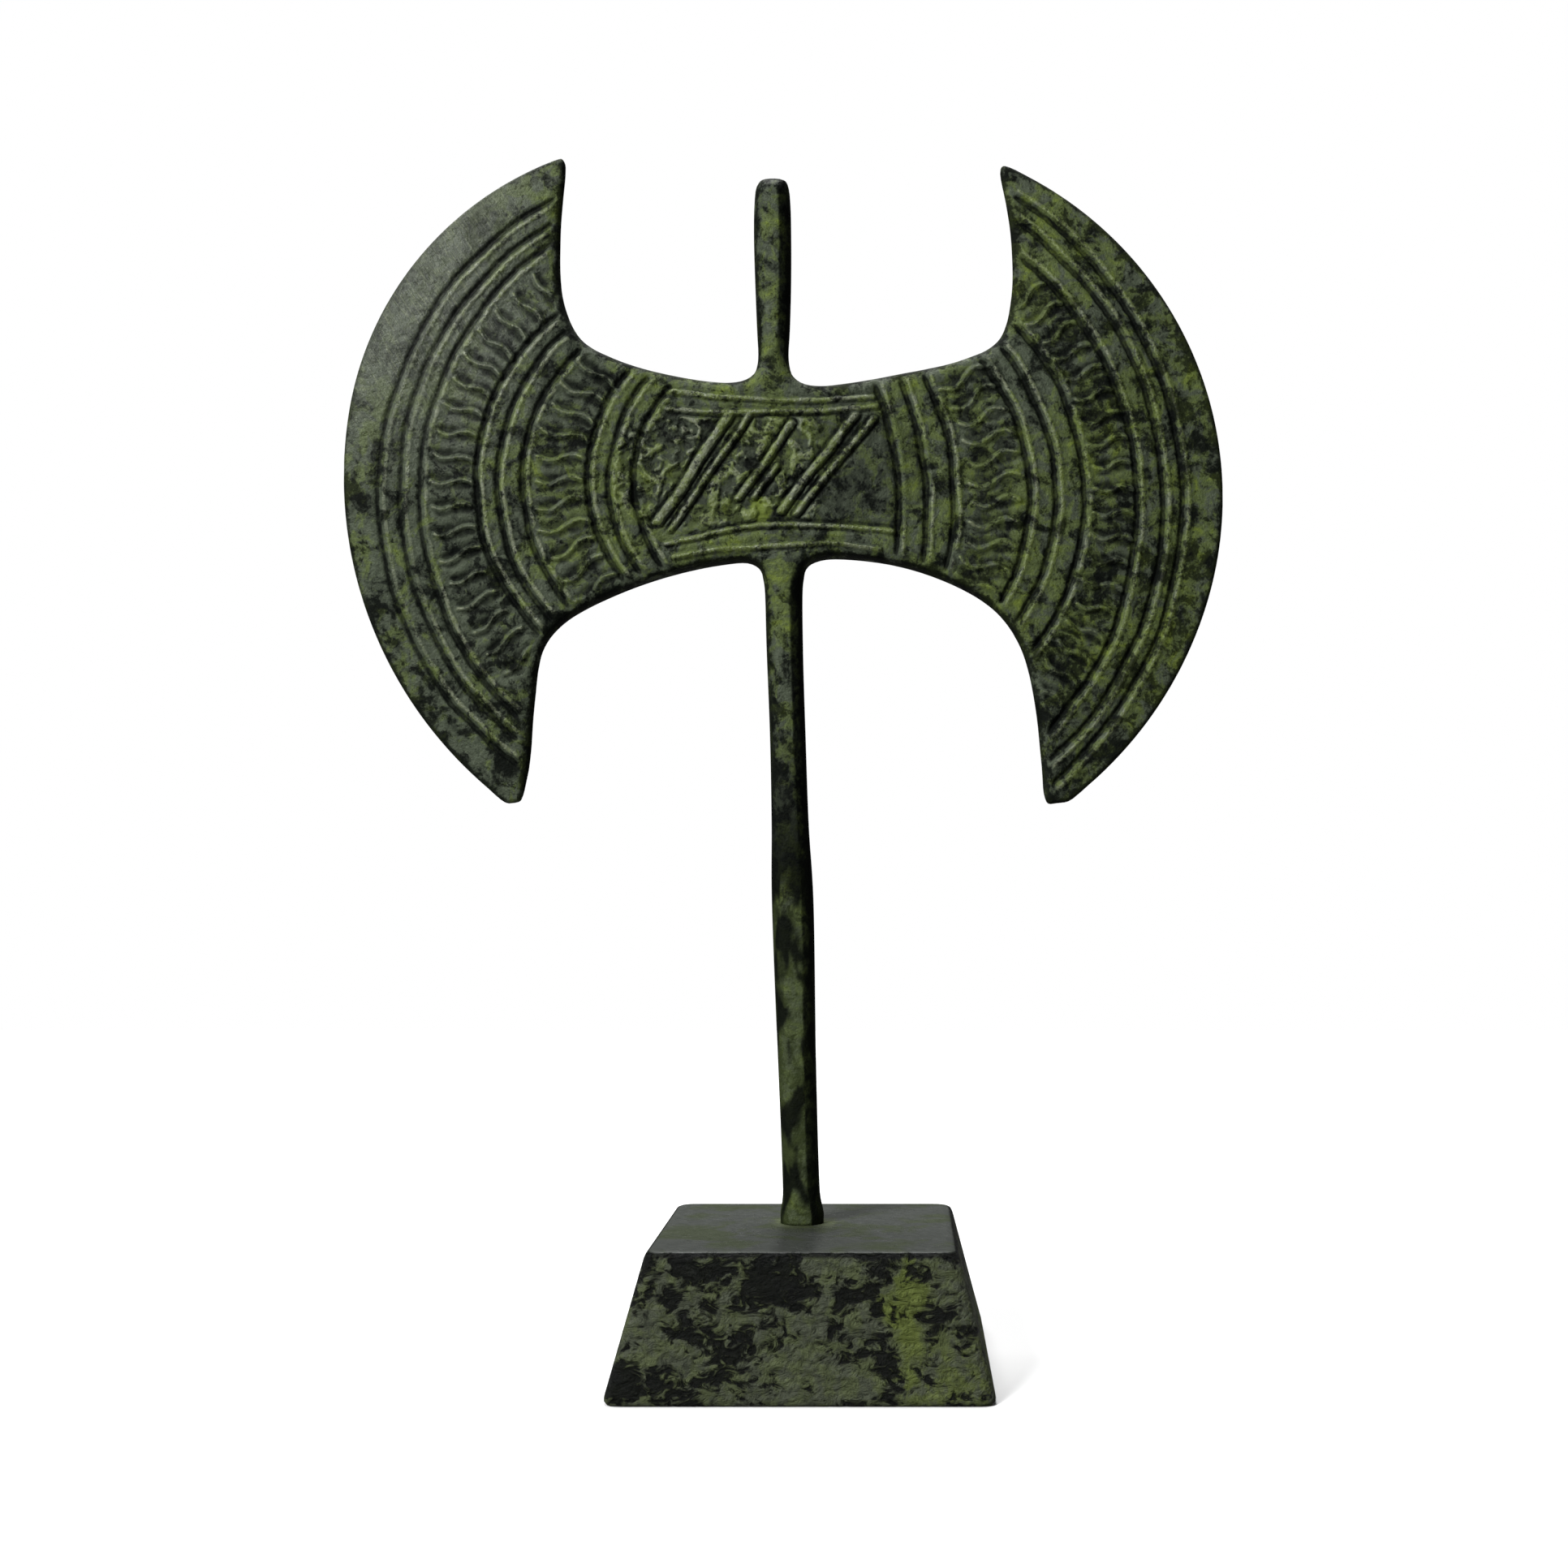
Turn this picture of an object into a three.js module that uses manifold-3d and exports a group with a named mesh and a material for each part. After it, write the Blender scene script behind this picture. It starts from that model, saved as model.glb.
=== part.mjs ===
// A small cast double axe (labrys) that stands on its own haft and a tapered square base.
// Millimetres, +Z up. The carved front faces -Y, and the origin is the centre of the base's underside.
// Every outline is drawn in the X-Z plane, so a pair of numbers is always [x, z].
import * as THREE from "three";
import { mergeVertices } from "three/addons/utils/BufferGeometryUtils.js";
import Module from "manifold-3d";

// ---------------------------------------------------------------- driving dimensions

const base = {
  bottomWidth: 59,
  topWidth: 47.6,
  height: 21.8,
  sideBulge: 0.1, // how far each side swells past a straight slope, low down
  edgeRound: 0.8, // soft edge round the top face and the underside
  cornerRadius: 2.2,
  cornerSteps: 4,
};

const axePlane = 3; // the blade and the haft stand this far behind the middle of the base
const footGap = 0.3; // between the haft's foot and the base

const blade = {
  edgeThickness: 1.6, // at the two cutting edges
  middleThickness: 7.2, // at the haft
  depthToMiddle: 74, // from a cutting edge to the haft
  stepsAlongLine: 20,
  edgeSteps: 30,
  lineOverrun: 6, // the carved lines are laid out past the outline, then cut back to it
  prismReach: 6, // half the depth of the block that cuts the blade to its outline
};

// Each cutting edge is two arcs that meet smoothly: an upper one, and a lower, wider one.
// Angles are in degrees from +X, towards +Z.
const leftEdge = {
  upper: { centre: [-23.7, 148.9], radius: 54.5, fromAngle: 111.2 },
  lower: { centre: [-8.8, 146.6], toAngle: 233.1 },
};
const rightEdge = {
  upper: { centre: [7.6, 142.7], radius: 61.5, fromAngle: 65.4 },
  lower: { centre: [3.3, 143.9], toAngle: -53.0 },
};

// The inner side of each horn, from its tip to the haft, as the few points a smooth curve needs.
const horns = {
  topLeft: {
    tip: [[-42.3, 200.0], [-41.7, 199.2]],
    inner: [[-41.6, 197.4], [-42.35, 186], [-41.7, 175.4], [-38.6, 168.9], [-32.4, 165.4],
      [-24, 162.9], [-14.6, 161.5], [-11.2, 161.9], [-9.5, 163.1], [-8.9, 165.4]],
  },
  topRight: {
    tip: [[32.3, 198.7], [31.9, 198.0]],
    inner: [[32.2, 196.2], [33.7, 186], [33.6, 175.2], [31.4, 168.7], [25, 165.4],
      [15, 163.1], [7, 161.6], [1.0, 161.0], [-1.7, 161.6], [-3.2, 163.0], [-3.8, 165.4]],
  },
  bottomLeft: {
    tip: [[-49.2, 90.95], [-48.2, 91.3]],
    inner: [[-47.6, 92.8], [-46.7, 97.5], [-45.9, 108.6], [-44.6, 116.6], [-41.3, 120.9],
      [-33.6, 125.3], [-23.5, 129.0], [-14, 131.0], [-10.2, 131.1], [-8.4, 129.9], [-7.7, 127.0]],
  },
  bottomRight: {
    tip: [[41.3, 90.95], [39.6, 90.85]],
    inner: [[38.95, 92.2], [38.5, 97.5], [37.3, 108.4], [35.2, 116.6], [31.6, 122.3],
      [26, 126.4], [16, 130.3], [6, 131.8], [1.6, 131.6], [-0.6, 130.4], [-1.3, 127.0]],
  },
};
const innerSteps = 24;

// Three groups of three carved lines follow each cutting edge. A group is its outermost line and its
// innermost one, each an arc through its top end, middle and bottom end; between says where the
// middle line runs. depth is how far in from the cutting edge the outermost and innermost lines are.
const lineGroups = {
  left: [
    {
      outermost: [[-42.8, 193.1], [-72.2, 144.9], [-48.8, 97.4]],
      innermost: [[-44.0, 185.1], [-65.1, 144.9], [-49.9, 106.9]],
      between: 0.52,
      depth: [6, 13],
    },
    {
      outermost: [[-41.2, 173.7], [-54.9, 144.9], [-45.0, 119.0]],
      innermost: [[-38.0, 167.4], [-48.1, 144.9], [-39.8, 123.0]],
      between: 0.31,
      depth: [23, 30],
    },
    {
      outermost: [[-30.4, 163.2], [-37.0, 144.9], [-30.6, 127.1]],
      innermost: [[-23.7, 160.5], [-29.5, 144.9], [-23.9, 129.5]],
      between: 0.45,
      depth: [41, 49],
    },
  ],
  right: [
    {
      outermost: [[34.5, 193.1], [62.0, 143.6], [40.3, 94.4]],
      innermost: [[34.4, 183.5], [54.6, 143.6], [38.8, 102.2]],
      between: 0.43,
      depth: [7, 14],
    },
    {
      outermost: [[34.4, 171.0], [45.8, 143.6], [36.7, 115.6]],
      innermost: [[28.0, 165.6], [36.7, 143.6], [31.1, 123.7]],
      between: 0.55,
      depth: [23, 32],
    },
    {
      outermost: [[18.6, 163.2], [23.8, 143.6], [22.4, 128.9]],
      innermost: [[10.6, 161.5], [14.7, 143.6], [14.3, 132.0]],
      between: 0.53,
      depth: [45, 54],
    },
  ],
};
const carvedLine = { halfWidth: 0.55, depth: 0.4 };

// The middle panel: ribs along its top and bottom, and slanting bars in pairs between them.
const panel = {
  columns: [-17, -5, 5],
  low: 127,
  high: 166,
  ribs: [
    [[-23.8, 159.6], [-15, 158.5], [-6.5, 158.0], [2, 158.0], [10.8, 158.6]],
    [[-23.8, 156.5], [-15, 156.1], [-6.5, 156.0], [2, 156.4], [10.8, 157.3]],
    [[-23.9, 133.8], [-15, 136.0], [-6.4, 136.8], [4, 136.9], [14.2, 136.2]],
    [[-23.6, 131.1], [-15, 132.8], [-6.4, 133.5], [3, 133.6], [11.9, 132.8]],
  ],
  bars: [
    [[-25.9, 137.1], [-13.6, 155.6]],
    [[-23.4, 135.8], [-9.9, 156.0]],
    [[-11.6, 141.5], [-2.6, 154.5]],
    [[-9.4, 141.5], [-0.5, 152.3]],
    [[-5.0, 139.1], [7.7, 156.0]],
    [[-2.3, 138.7], [10.8, 155.4]],
  ],
  halfWidth: 0.7, // of a rib or bar, where it leaves the face
  height: 0.35,
};

// The haft below the blade and the stub above it: x, z and width at each station.
const haftStations = [[-1.1, 6.5, "foot"], [-1.3, 6.1, 27], [-1.6, 6.2, 35], [-2.1, 6.35, 48.6],
  [-2.5, 6.6, 62], [-2.9, 6.9, 75.8], [-3.3, 6.2, 87], [-3.75, 5.95, 102], [-4.3, 6.1, 117],
  [-4.5, 6.4, 127], [-4.6, 6.4, 134]];
const stubStations = [[-6.3, 6.0, 158], [-6.35, 5.1, 166.6], [-6.35, 5.5, 170.2], [-6.4, 6.0, 178],
  [-6.55, 6.3, 186], [-6.6, 6.1, 192], [-6.6, 5.5, 194.9], [-6.5, 4.4, 196.0], [-6.5, 2.6, 196.4]];
const rodSides = 8; // filed to eight soft flats, one of them square to the front

// ---------------------------------------------------------------- solids

const wasm = await Module();
wasm.setup();

function toManifold(geometry) {
  const bare = geometry.clone();
  for (const name of Object.keys(bare.attributes)) {
    if (name !== "position") bare.deleteAttribute(name);
  }
  const merged = mergeVertices(bare, 1e-4);
  const vertProperties = new Float32Array(merged.attributes.position.array);
  const triVerts = new Uint32Array(merged.index.array);
  return new wasm.Manifold(new wasm.Mesh({ numProp: 3, vertProperties, triVerts }));
}

function toGeometry(manifold) {
  const mesh = manifold.getMesh();
  const geometry = new THREE.BufferGeometry();
  const positions = new Float32Array(mesh.numVert * 3);
  for (let i = 0; i < mesh.numVert; i++) {
    for (let k = 0; k < 3; k++) positions[3 * i + k] = mesh.vertProperties[mesh.numProp * i + k];
  }
  geometry.setAttribute("position", new THREE.BufferAttribute(positions, 3));
  geometry.setIndex(new THREE.BufferAttribute(new Uint32Array(mesh.triVerts), 1));
  geometry.computeVertexNormals();
  return geometry;
}

function indexedGeometry(points, triangles) {
  const geometry = new THREE.BufferGeometry();
  geometry.setAttribute("position", new THREE.Float32BufferAttribute(points.flat(), 3));
  geometry.setIndex(triangles.flat());
  return geometry;
}

// A closed skin over rings that all have the same number of points, each ring seen anticlockwise
// from the end that the rings run towards.
function ringStack(rings) {
  const count = rings[0].length;
  const triangles = [];
  for (let r = 0; r + 1 < rings.length; r++) {
    for (let i = 0; i < count; i++) {
      const a = r * count + i;
      const b = r * count + ((i + 1) % count);
      triangles.push([a, b, b + count], [a, b + count, a + count]);
    }
  }
  const last = (rings.length - 1) * count;
  for (let i = 1; i + 1 < count; i++) {
    triangles.push([0, i + 1, i], [last, last + i, last + i + 1]);
  }
  return indexedGeometry(rings.flat(), triangles);
}

// ---------------------------------------------------------------- base

function roundedSquare(halfWidth, z) {
  const points = [];
  const inset = halfWidth - base.cornerRadius;
  for (let corner = 0; corner < 4; corner++) {
    const middle = Math.PI / 4 + (corner * Math.PI) / 2;
    const cornerX = Math.sign(Math.cos(middle)) * inset;
    const cornerY = Math.sign(Math.sin(middle)) * inset;
    for (let step = 0; step <= base.cornerSteps; step++) {
      const angle = (corner + step / base.cornerSteps) * (Math.PI / 2);
      points.push([
        cornerX + base.cornerRadius * Math.cos(angle),
        cornerY + base.cornerRadius * Math.sin(angle),
        z,
      ]);
    }
  }
  return points;
}

function baseGeometry() {
  const halfAt = (z) => {
    const up = z / base.height;
    const slope = (base.bottomWidth + (base.topWidth - base.bottomWidth) * up) / 2;
    return slope + base.sideBulge * Math.sin(Math.PI * Math.sqrt(up));
  };
  const rings = [roundedSquare(halfAt(0) - 0.4, 0)];
  for (const z of [0.7, 3, 7, 12, 17, base.height - base.edgeRound]) {
    rings.push(roundedSquare(halfAt(z), z));
  }
  const shoulder = base.height - base.edgeRound * 0.3;
  rings.push(roundedSquare(halfAt(shoulder) - base.edgeRound * 0.3, shoulder));
  rings.push(roundedSquare(halfAt(base.height) - base.edgeRound, base.height));
  return ringStack(rings);
}

// ---------------------------------------------------------------- blade

const toRadians = (degrees) => (degrees * Math.PI) / 180;

// A point on a cutting edge at share 0 (top) to 1 (bottom), moved outwards by offset. Shares past
// either end run on along the same arc.
function edgePoint(edge, share, offset = 0) {
  const { upper, lower } = edge;
  const dx = upper.centre[0] - lower.centre[0];
  const dz = upper.centre[1] - lower.centre[1];
  const lowerRadius = upper.radius + Math.hypot(dx, dz);
  const from = toRadians(upper.fromAngle);
  const to = toRadians(lower.toAngle);
  const join = Math.atan2(dz, dx);
  const upperLength = Math.abs(join - from) * upper.radius;
  const lowerLength = Math.abs(to - join) * lowerRadius;
  const along = share * (upperLength + lowerLength);
  const onUpper = along < upperLength;
  const angle = onUpper
    ? from + (join - from) * (along / upperLength)
    : join + (to - join) * ((along - upperLength) / lowerLength);
  const centre = onUpper ? upper.centre : lower.centre;
  const radius = (onUpper ? upper.radius : lowerRadius) + offset;
  return [centre[0] + radius * Math.cos(angle), centre[1] + radius * Math.sin(angle)];
}

function sampleEdge(edge, steps) {
  return Array.from({ length: steps + 1 }, (_, i) => edgePoint(edge, i / steps));
}

function sampleInner(horn) {
  const curve = new THREE.CatmullRomCurve3(
    horn.inner.map(([x, z]) => new THREE.Vector3(x, 0, z)), false, "centripetal");
  return [...horn.tip, ...curve.getPoints(innerSteps).map((p) => [p.x, p.z])];
}

// The block that cuts the blade to its outline: the outline pushed through from front to back.
function outlineBlock() {
  const outline = [
    ...sampleEdge(leftEdge, blade.edgeSteps),
    ...sampleInner(horns.bottomLeft),
    ...sampleInner(horns.bottomRight).reverse(),
    ...sampleEdge(rightEdge, blade.edgeSteps).reverse(),
    ...sampleInner(horns.topRight),
    ...sampleInner(horns.topLeft).reverse(),
  ];
  const shape = new THREE.Shape(outline.map(([x, z]) => new THREE.Vector2(x, z)));
  const block = new THREE.ExtrudeGeometry(shape, { depth: 2 * blade.prismReach, bevelEnabled: false });
  block.rotateX(Math.PI / 2);
  block.translate(0, axePlane + blade.prismReach, 0);
  return toManifold(block);
}

// Half the blade's thickness at a depth in from a cutting edge: thin there, full at the haft.
function halfThickness(depth) {
  const share = Math.min(Math.max(depth / blade.depthToMiddle, 0), 1);
  const rise = 1 - (1 - share) ** 2;
  return (blade.edgeThickness + (blade.middleThickness - blade.edgeThickness) * rise) / 2;
}

// Points along the arc through three points, run on past both ends and moved outwards by offset.
function arcPoints([top, middle, bottom], offset) {
  const [ax, az] = [middle[0] - top[0], middle[1] - top[1]];
  const [bx, bz] = [bottom[0] - top[0], bottom[1] - top[1]];
  const cross = 2 * (ax * bz - az * bx);
  const a2 = ax * ax + az * az;
  const b2 = bx * bx + bz * bz;
  const centre = [top[0] + (bz * a2 - az * b2) / cross, top[1] + (ax * b2 - bx * a2) / cross];
  const radius = Math.hypot(top[0] - centre[0], top[1] - centre[1]);
  const side = Math.sign(middle[0] - centre[0]);
  const angleOf = ([x, z]) => Math.atan2(z - centre[1], side * (x - centre[0]));
  const extra = blade.lineOverrun / radius;
  const from = angleOf(top) + extra;
  const to = angleOf(bottom) - extra;
  const points = [];
  for (let i = 0; i <= blade.stepsAlongLine; i++) {
    const angle = from + ((to - from) * i) / blade.stepsAlongLine;
    points.push([
      centre[0] + side * (radius + offset) * Math.cos(angle),
      centre[1] + (radius + offset) * Math.sin(angle),
    ]);
  }
  return points;
}

const mixPoints = (a, b, share) => a.map((p, i) => p.map((v, k) => v + (b[i][k] - v) * share));

// One wing as columns from its cutting edge inwards. A column is a line of points from top to
// bottom and the half thickness there. Each carved line is three columns: lip, bottom, lip.
function wingColumns(edge, groups) {
  const overrun = 0.03;
  const edgeColumn = (offset) => {
    const points = [];
    for (let i = 0; i <= blade.stepsAlongLine; i++) {
      const share = -overrun + ((1 + 2 * overrun) * i) / blade.stepsAlongLine;
      points.push(edgePoint(edge, share, offset));
    }
    return points;
  };
  const columns = [
    { points: edgeColumn(1.5), half: halfThickness(-1) },
    { points: edgeColumn(-1), half: halfThickness(1) + 0.15 },
  ];
  let previous = null;
  for (const group of groups) {
    const first = columns.length;
    for (const share of [0, group.between, 1]) {
      const line = mixPoints(group.outermost, group.innermost, share);
      const depth = group.depth[0] + (group.depth[1] - group.depth[0]) * share;
      const lip = halfThickness(depth);
      columns.push({ points: arcPoints(line, carvedLine.halfWidth), half: lip });
      columns.push({ points: arcPoints(line, 0), half: lip - carvedLine.depth });
      columns.push({ points: arcPoints(line, -carvedLine.halfWidth), half: lip });
    }
    if (previous) {
      const middle = halfThickness((previous.depth[1] + group.depth[0]) / 2);
      const points = mixPoints(columns[first - 1].points, columns[first].points, 0.5);
      columns.splice(first, 0, { points, half: middle });
    }
    previous = group;
  }
  return columns;
}

function panelColumns() {
  return panel.columns.map((x) => {
    const points = [];
    for (let i = 0; i <= blade.stepsAlongLine; i++) {
      points.push([x, panel.high + ((panel.low - panel.high) * i) / blade.stepsAlongLine]);
    }
    return { points, half: halfThickness(blade.depthToMiddle) };
  });
}

// A closed slab between a front and a back that both follow the columns.
function columnSlab(columns) {
  const rows = columns[0].points.length;
  const count = columns.length * rows;
  const points = [];
  for (const side of [-1, 1]) {
    for (const column of columns) {
      for (const [x, z] of column.points) points.push([x, axePlane + side * column.half, z]);
    }
  }
  const triangles = [];
  for (let c = 0; c + 1 < columns.length; c++) {
    for (let r = 0; r + 1 < rows; r++) {
      const a = c * rows + r;
      const b = a + rows;
      triangles.push([a, a + 1, b + 1], [a, b + 1, b]);
      triangles.push([count + a, count + b + 1, count + a + 1], [count + a, count + b, count + b + 1]);
    }
  }
  const wall = (a, b) => triangles.push([a, b, b + count], [a, b + count, a + count]);
  const lastColumn = (columns.length - 1) * rows;
  for (let r = 0; r + 1 < rows; r++) {
    wall(r + 1, r);
    wall(lastColumn + r, lastColumn + r + 1);
  }
  for (let c = 0; c + 1 < columns.length; c++) {
    wall(c * rows, (c + 1) * rows);
    wall((c + 1) * rows + rows - 1, c * rows + rows - 1);
  }
  return indexedGeometry(points, triangles);
}

// A three-sided bar along a path on one face: pointed at pointY, and 2 halfWidth wide at flatY.
function pointedBar(path, halfWidth, pointY, flatY) {
  const rings = path.map(([x, z], i) => {
    const before = path[Math.max(i - 1, 0)];
    const after = path[Math.min(i + 1, path.length - 1)];
    const length = Math.hypot(after[0] - before[0], after[1] - before[1]);
    const across = [-(after[1] - before[1]) / length, (after[0] - before[0]) / length];
    const ring = [
      [x, pointY, z],
      [x + across[0] * halfWidth, flatY, z + across[1] * halfWidth],
      [x - across[0] * halfWidth, flatY, z - across[1] * halfWidth],
    ];
    return pointY > flatY ? ring : [ring[0], ring[2], ring[1]];
  });
  return toManifold(ringStack(rings));
}

function raisePanel(solid) {
  const face = halfThickness(blade.depthToMiddle);
  const buried = 0.4; // how far the flat side of a bar lies inside the face
  const flatHalfWidth = (panel.halfWidth * (panel.height + buried)) / panel.height;
  let raised = solid;
  for (const side of [-1, 1]) {
    const flat = axePlane + side * (face - buried);
    const crest = axePlane + side * (face + panel.height);
    for (const path of [...panel.ribs, ...panel.bars]) {
      raised = raised.add(pointedBar(path, flatHalfWidth, crest, flat));
    }
  }
  return raised;
}

function rod(stations) {
  const rings = stations.map(([x, width, z]) => {
    const height = z === "foot" ? base.height + footGap : z;
    const radius = width / 2 / Math.cos(Math.PI / rodSides);
    const ring = [];
    for (let i = 0; i < rodSides; i++) {
      const angle = (2 * Math.PI * (i + 0.5)) / rodSides;
      ring.push([x + radius * Math.cos(angle), axePlane + radius * Math.sin(angle), height]);
    }
    return ring;
  });
  return toManifold(ringStack(rings));
}

function doubleAxeGeometry() {
  const columns = [
    ...wingColumns(leftEdge, lineGroups.left),
    ...panelColumns(),
    ...wingColumns(rightEdge, lineGroups.right).reverse(),
  ];
  const plate = toManifold(columnSlab(columns)).intersect(outlineBlock());
  const axe = raisePanel(plate).add(rod(haftStations)).add(rod(stubStations));
  return toGeometry(axe);
}

// ---------------------------------------------------------------- the object

const bronze = new THREE.MeshStandardMaterial({ color: 0x2c3522, roughness: 0.5, metalness: 0.7 });
const baseBronze = new THREE.MeshStandardMaterial({ color: 0x343c2a, roughness: 0.55, metalness: 0.6 });

const souvenir = new THREE.Group();

const doubleAxe = new THREE.Mesh(doubleAxeGeometry(), bronze);
doubleAxe.name = "double_axe";
souvenir.add(doubleAxe);

const baseBlock = new THREE.Mesh(baseGeometry(), baseBronze);
baseBlock.name = "base";
souvenir.add(baseBlock);

export default souvenir;
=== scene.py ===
import math
import bmesh
import bpy
import numpy as np
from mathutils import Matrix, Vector, noise
from mathutils.geometry import delaunay_2d_cdt


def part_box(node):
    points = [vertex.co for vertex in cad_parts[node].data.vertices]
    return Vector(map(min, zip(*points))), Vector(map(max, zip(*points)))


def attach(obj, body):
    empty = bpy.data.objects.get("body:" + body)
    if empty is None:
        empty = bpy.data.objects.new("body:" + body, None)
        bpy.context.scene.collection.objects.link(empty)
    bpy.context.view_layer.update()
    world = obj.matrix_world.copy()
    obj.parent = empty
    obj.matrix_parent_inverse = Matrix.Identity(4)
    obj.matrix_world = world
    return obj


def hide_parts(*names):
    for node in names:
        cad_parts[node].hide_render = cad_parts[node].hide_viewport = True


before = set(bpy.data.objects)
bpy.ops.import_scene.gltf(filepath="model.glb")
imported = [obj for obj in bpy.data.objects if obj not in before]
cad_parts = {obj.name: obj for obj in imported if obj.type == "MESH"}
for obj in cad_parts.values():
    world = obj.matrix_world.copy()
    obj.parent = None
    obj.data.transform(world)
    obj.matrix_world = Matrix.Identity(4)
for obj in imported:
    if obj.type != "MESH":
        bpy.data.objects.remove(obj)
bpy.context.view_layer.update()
print("frame loaded")

mm = 0.001

axeLow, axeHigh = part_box("double_axe")
baseLow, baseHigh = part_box("base")
axeMiddleY = (axeLow.y + axeHigh.y) / 2 / mm  # the plane that the blade and the haft lie in, in mm
baseTopZ = baseHigh.z / mm


# small tools for node trees: they work in geometry trees and in materials

def plug(socket, value):
    if isinstance(value, bpy.types.NodeSocket):
        socket.id_data.links.new(value, socket)
    else:
        socket.default_value = value


def node(tree, kind, inputs=(), **settings):
    made = tree.nodes.new(kind)
    for name, value in settings.items():
        setattr(made, name, value)
    for key, value in dict(inputs).items():
        plug(made.inputs[key], value)
    return made


def treeOf(values):
    # the node tree that the first socket among the values belongs to
    return next(value.id_data for value in values if isinstance(value, bpy.types.NodeSocket))


def calc(operation, *values):
    made = node(treeOf(values), "ShaderNodeMath", operation=operation)
    for socket, value in zip(made.inputs, values):
        plug(socket, value)
    return made.outputs[0]


def times(first, second):
    return calc("MULTIPLY", first, second)


def timesPlus(first, second, third):
    return calc("MULTIPLY_ADD", first, second, third)


def plus(first, second):
    return calc("ADD", first, second)


def minus(first, second):
    return calc("SUBTRACT", first, second)


def vectorCalc(operation, *values):
    made = node(treeOf(values), "ShaderNodeVectorMath", operation=operation)
    for socket, value in zip(made.inputs, values):
        plug(socket, value)
    return made.outputs[0]


def ramp(value, low, high, fromValue=0.0, toValue=1.0, smooth=True):
    kind = "SMOOTHSTEP" if smooth else "LINEAR"
    made = node(value.id_data, "ShaderNodeMapRange", interpolation_type=kind)
    for key, item in zip(range(5), (value, low, high, fromValue, toValue)):
        plug(made.inputs[key], item)
    return made.outputs[0]


def noiseAt(position, scale, detail=2.0, roughness=0.5, distortion=0.0):
    inputs = {"Vector": position, "Scale": scale, "Detail": detail, "Roughness": roughness,
              "Distortion": distortion}
    return node(position.id_data, "ShaderNodeTexNoise", inputs, noise_dimensions="3D").outputs["Fac"]


def mixColour(share, first, second):
    inputs = {0: share, 6: first, 7: second}  # the colour sockets
    return node(share.id_data, "ShaderNodeMix", inputs, data_type="RGBA", blend_type="MIX").outputs[2]


# camera, lights and floor

cameraSizes = {
    "place": (14.83, -330.63, 77.04),  # mm
    "pitch": 2.93,  # degrees upwards
    "lens": 46.06,
    "sensor": 36,
    "shiftX": -0.0735,
    "nearest": 0.01,  # m: nothing nearer is drawn
}


def makeCamera():
    data = bpy.data.cameras.new("camera")
    data.lens = cameraSizes["lens"]
    data.sensor_width = cameraSizes["sensor"]
    data.shift_x = cameraSizes["shiftX"]
    data.clip_start = cameraSizes["nearest"]
    data.dof.use_dof = False
    camera = bpy.data.objects.new("camera", data)
    camera.location = Vector(cameraSizes["place"]) * mm
    camera.rotation_euler = (math.radians(90 + cameraSizes["pitch"]), 0, 0)
    bpy.context.scene.collection.objects.link(camera)
    bpy.context.scene.camera = camera


lampSizes = {
    # name: place and target in mm, size in mm, power in watts
    "key": {"place": (-1050, -1350, 1150), "target": (0, 0, 110), "size": 700, "power": 54.0},
    "fill": {"place": (900, -1700, 500), "target": (0, 0, 110), "size": 1000, "power": 2.5},
    "top": {"place": (-150, 500, 1900), "target": (0, 0, 60), "size": 1100, "power": 44.0},
}


def makeLamp(name, sizes):
    data = bpy.data.lights.new(name, "AREA")
    data.shape = "DISK"
    data.size = sizes["size"] * mm
    data.energy = sizes["power"]
    lamp = bpy.data.objects.new(name, data)
    place = Vector(sizes["place"]) * mm
    aim = Vector(sizes["target"]) * mm - place
    lamp.location = place
    lamp.rotation_euler = aim.to_track_quat("-Z", "Y").to_euler()
    bpy.context.scene.collection.objects.link(lamp)


studioSizes = {
    "seen": 1.0,  # how bright the room looks behind the object
    "cast": 0.035,  # how much light it gives
    "floorSeen": (0.93, 0.93, 0.93, 1.0),
    "floorCast": (0.12, 0.12, 0.12, 1.0),  # what the floor throws back at the object
    "floorRoughness": 0.9,
    "floorShine": 0.1,
    "reach": 0.75,  # m that the floor runs out to
}


def makeWorld():
    world = bpy.data.worlds.new("studio")
    world.use_nodes = True
    tree = world.node_tree
    background = tree.nodes["Background"]
    seen = node(tree, "ShaderNodeLightPath").outputs["Is Camera Ray"]
    strength = ramp(seen, 0.0, 1.0, studioSizes["cast"], studioSizes["seen"], False)
    plug(background.inputs["Strength"], strength)
    background.inputs["Color"].default_value = (1.0, 1.0, 1.0, 1.0)
    bpy.context.scene.world = world


def makeFloor():
    mesh = bpy.data.meshes.new("floor")
    far = studioSizes["reach"]
    mesh.from_pydata([(-far, -far, 0), (far, -far, 0), (far, far, 0), (-far, far, 0)], [], [(0, 1, 2, 3)])
    material = bpy.data.materials.new("paleFloor")
    material.use_nodes = True
    tree = material.node_tree
    shader = tree.nodes["Principled BSDF"]
    seen = node(tree, "ShaderNodeLightPath").outputs["Is Camera Ray"]
    plug(shader.inputs["Base Color"], mixColour(seen, studioSizes["floorCast"], studioSizes["floorSeen"]))
    shader.inputs["Roughness"].default_value = studioSizes["floorRoughness"]
    shader.inputs["Specular IOR Level"].default_value = studioSizes["floorShine"]
    mesh.materials.append(material)
    floor = bpy.data.objects.new("floor", mesh)
    bpy.context.scene.collection.objects.link(floor)


makeCamera()
makeWorld()
makeFloor()
for lampName, lampSize in lampSizes.items():
    makeLamp(lampName, lampSize)
bpy.context.scene.view_settings.view_transform = "Standard"
print("camera and studio made")


# the outline of the axe, from the middle plane of the CAD solid

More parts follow.
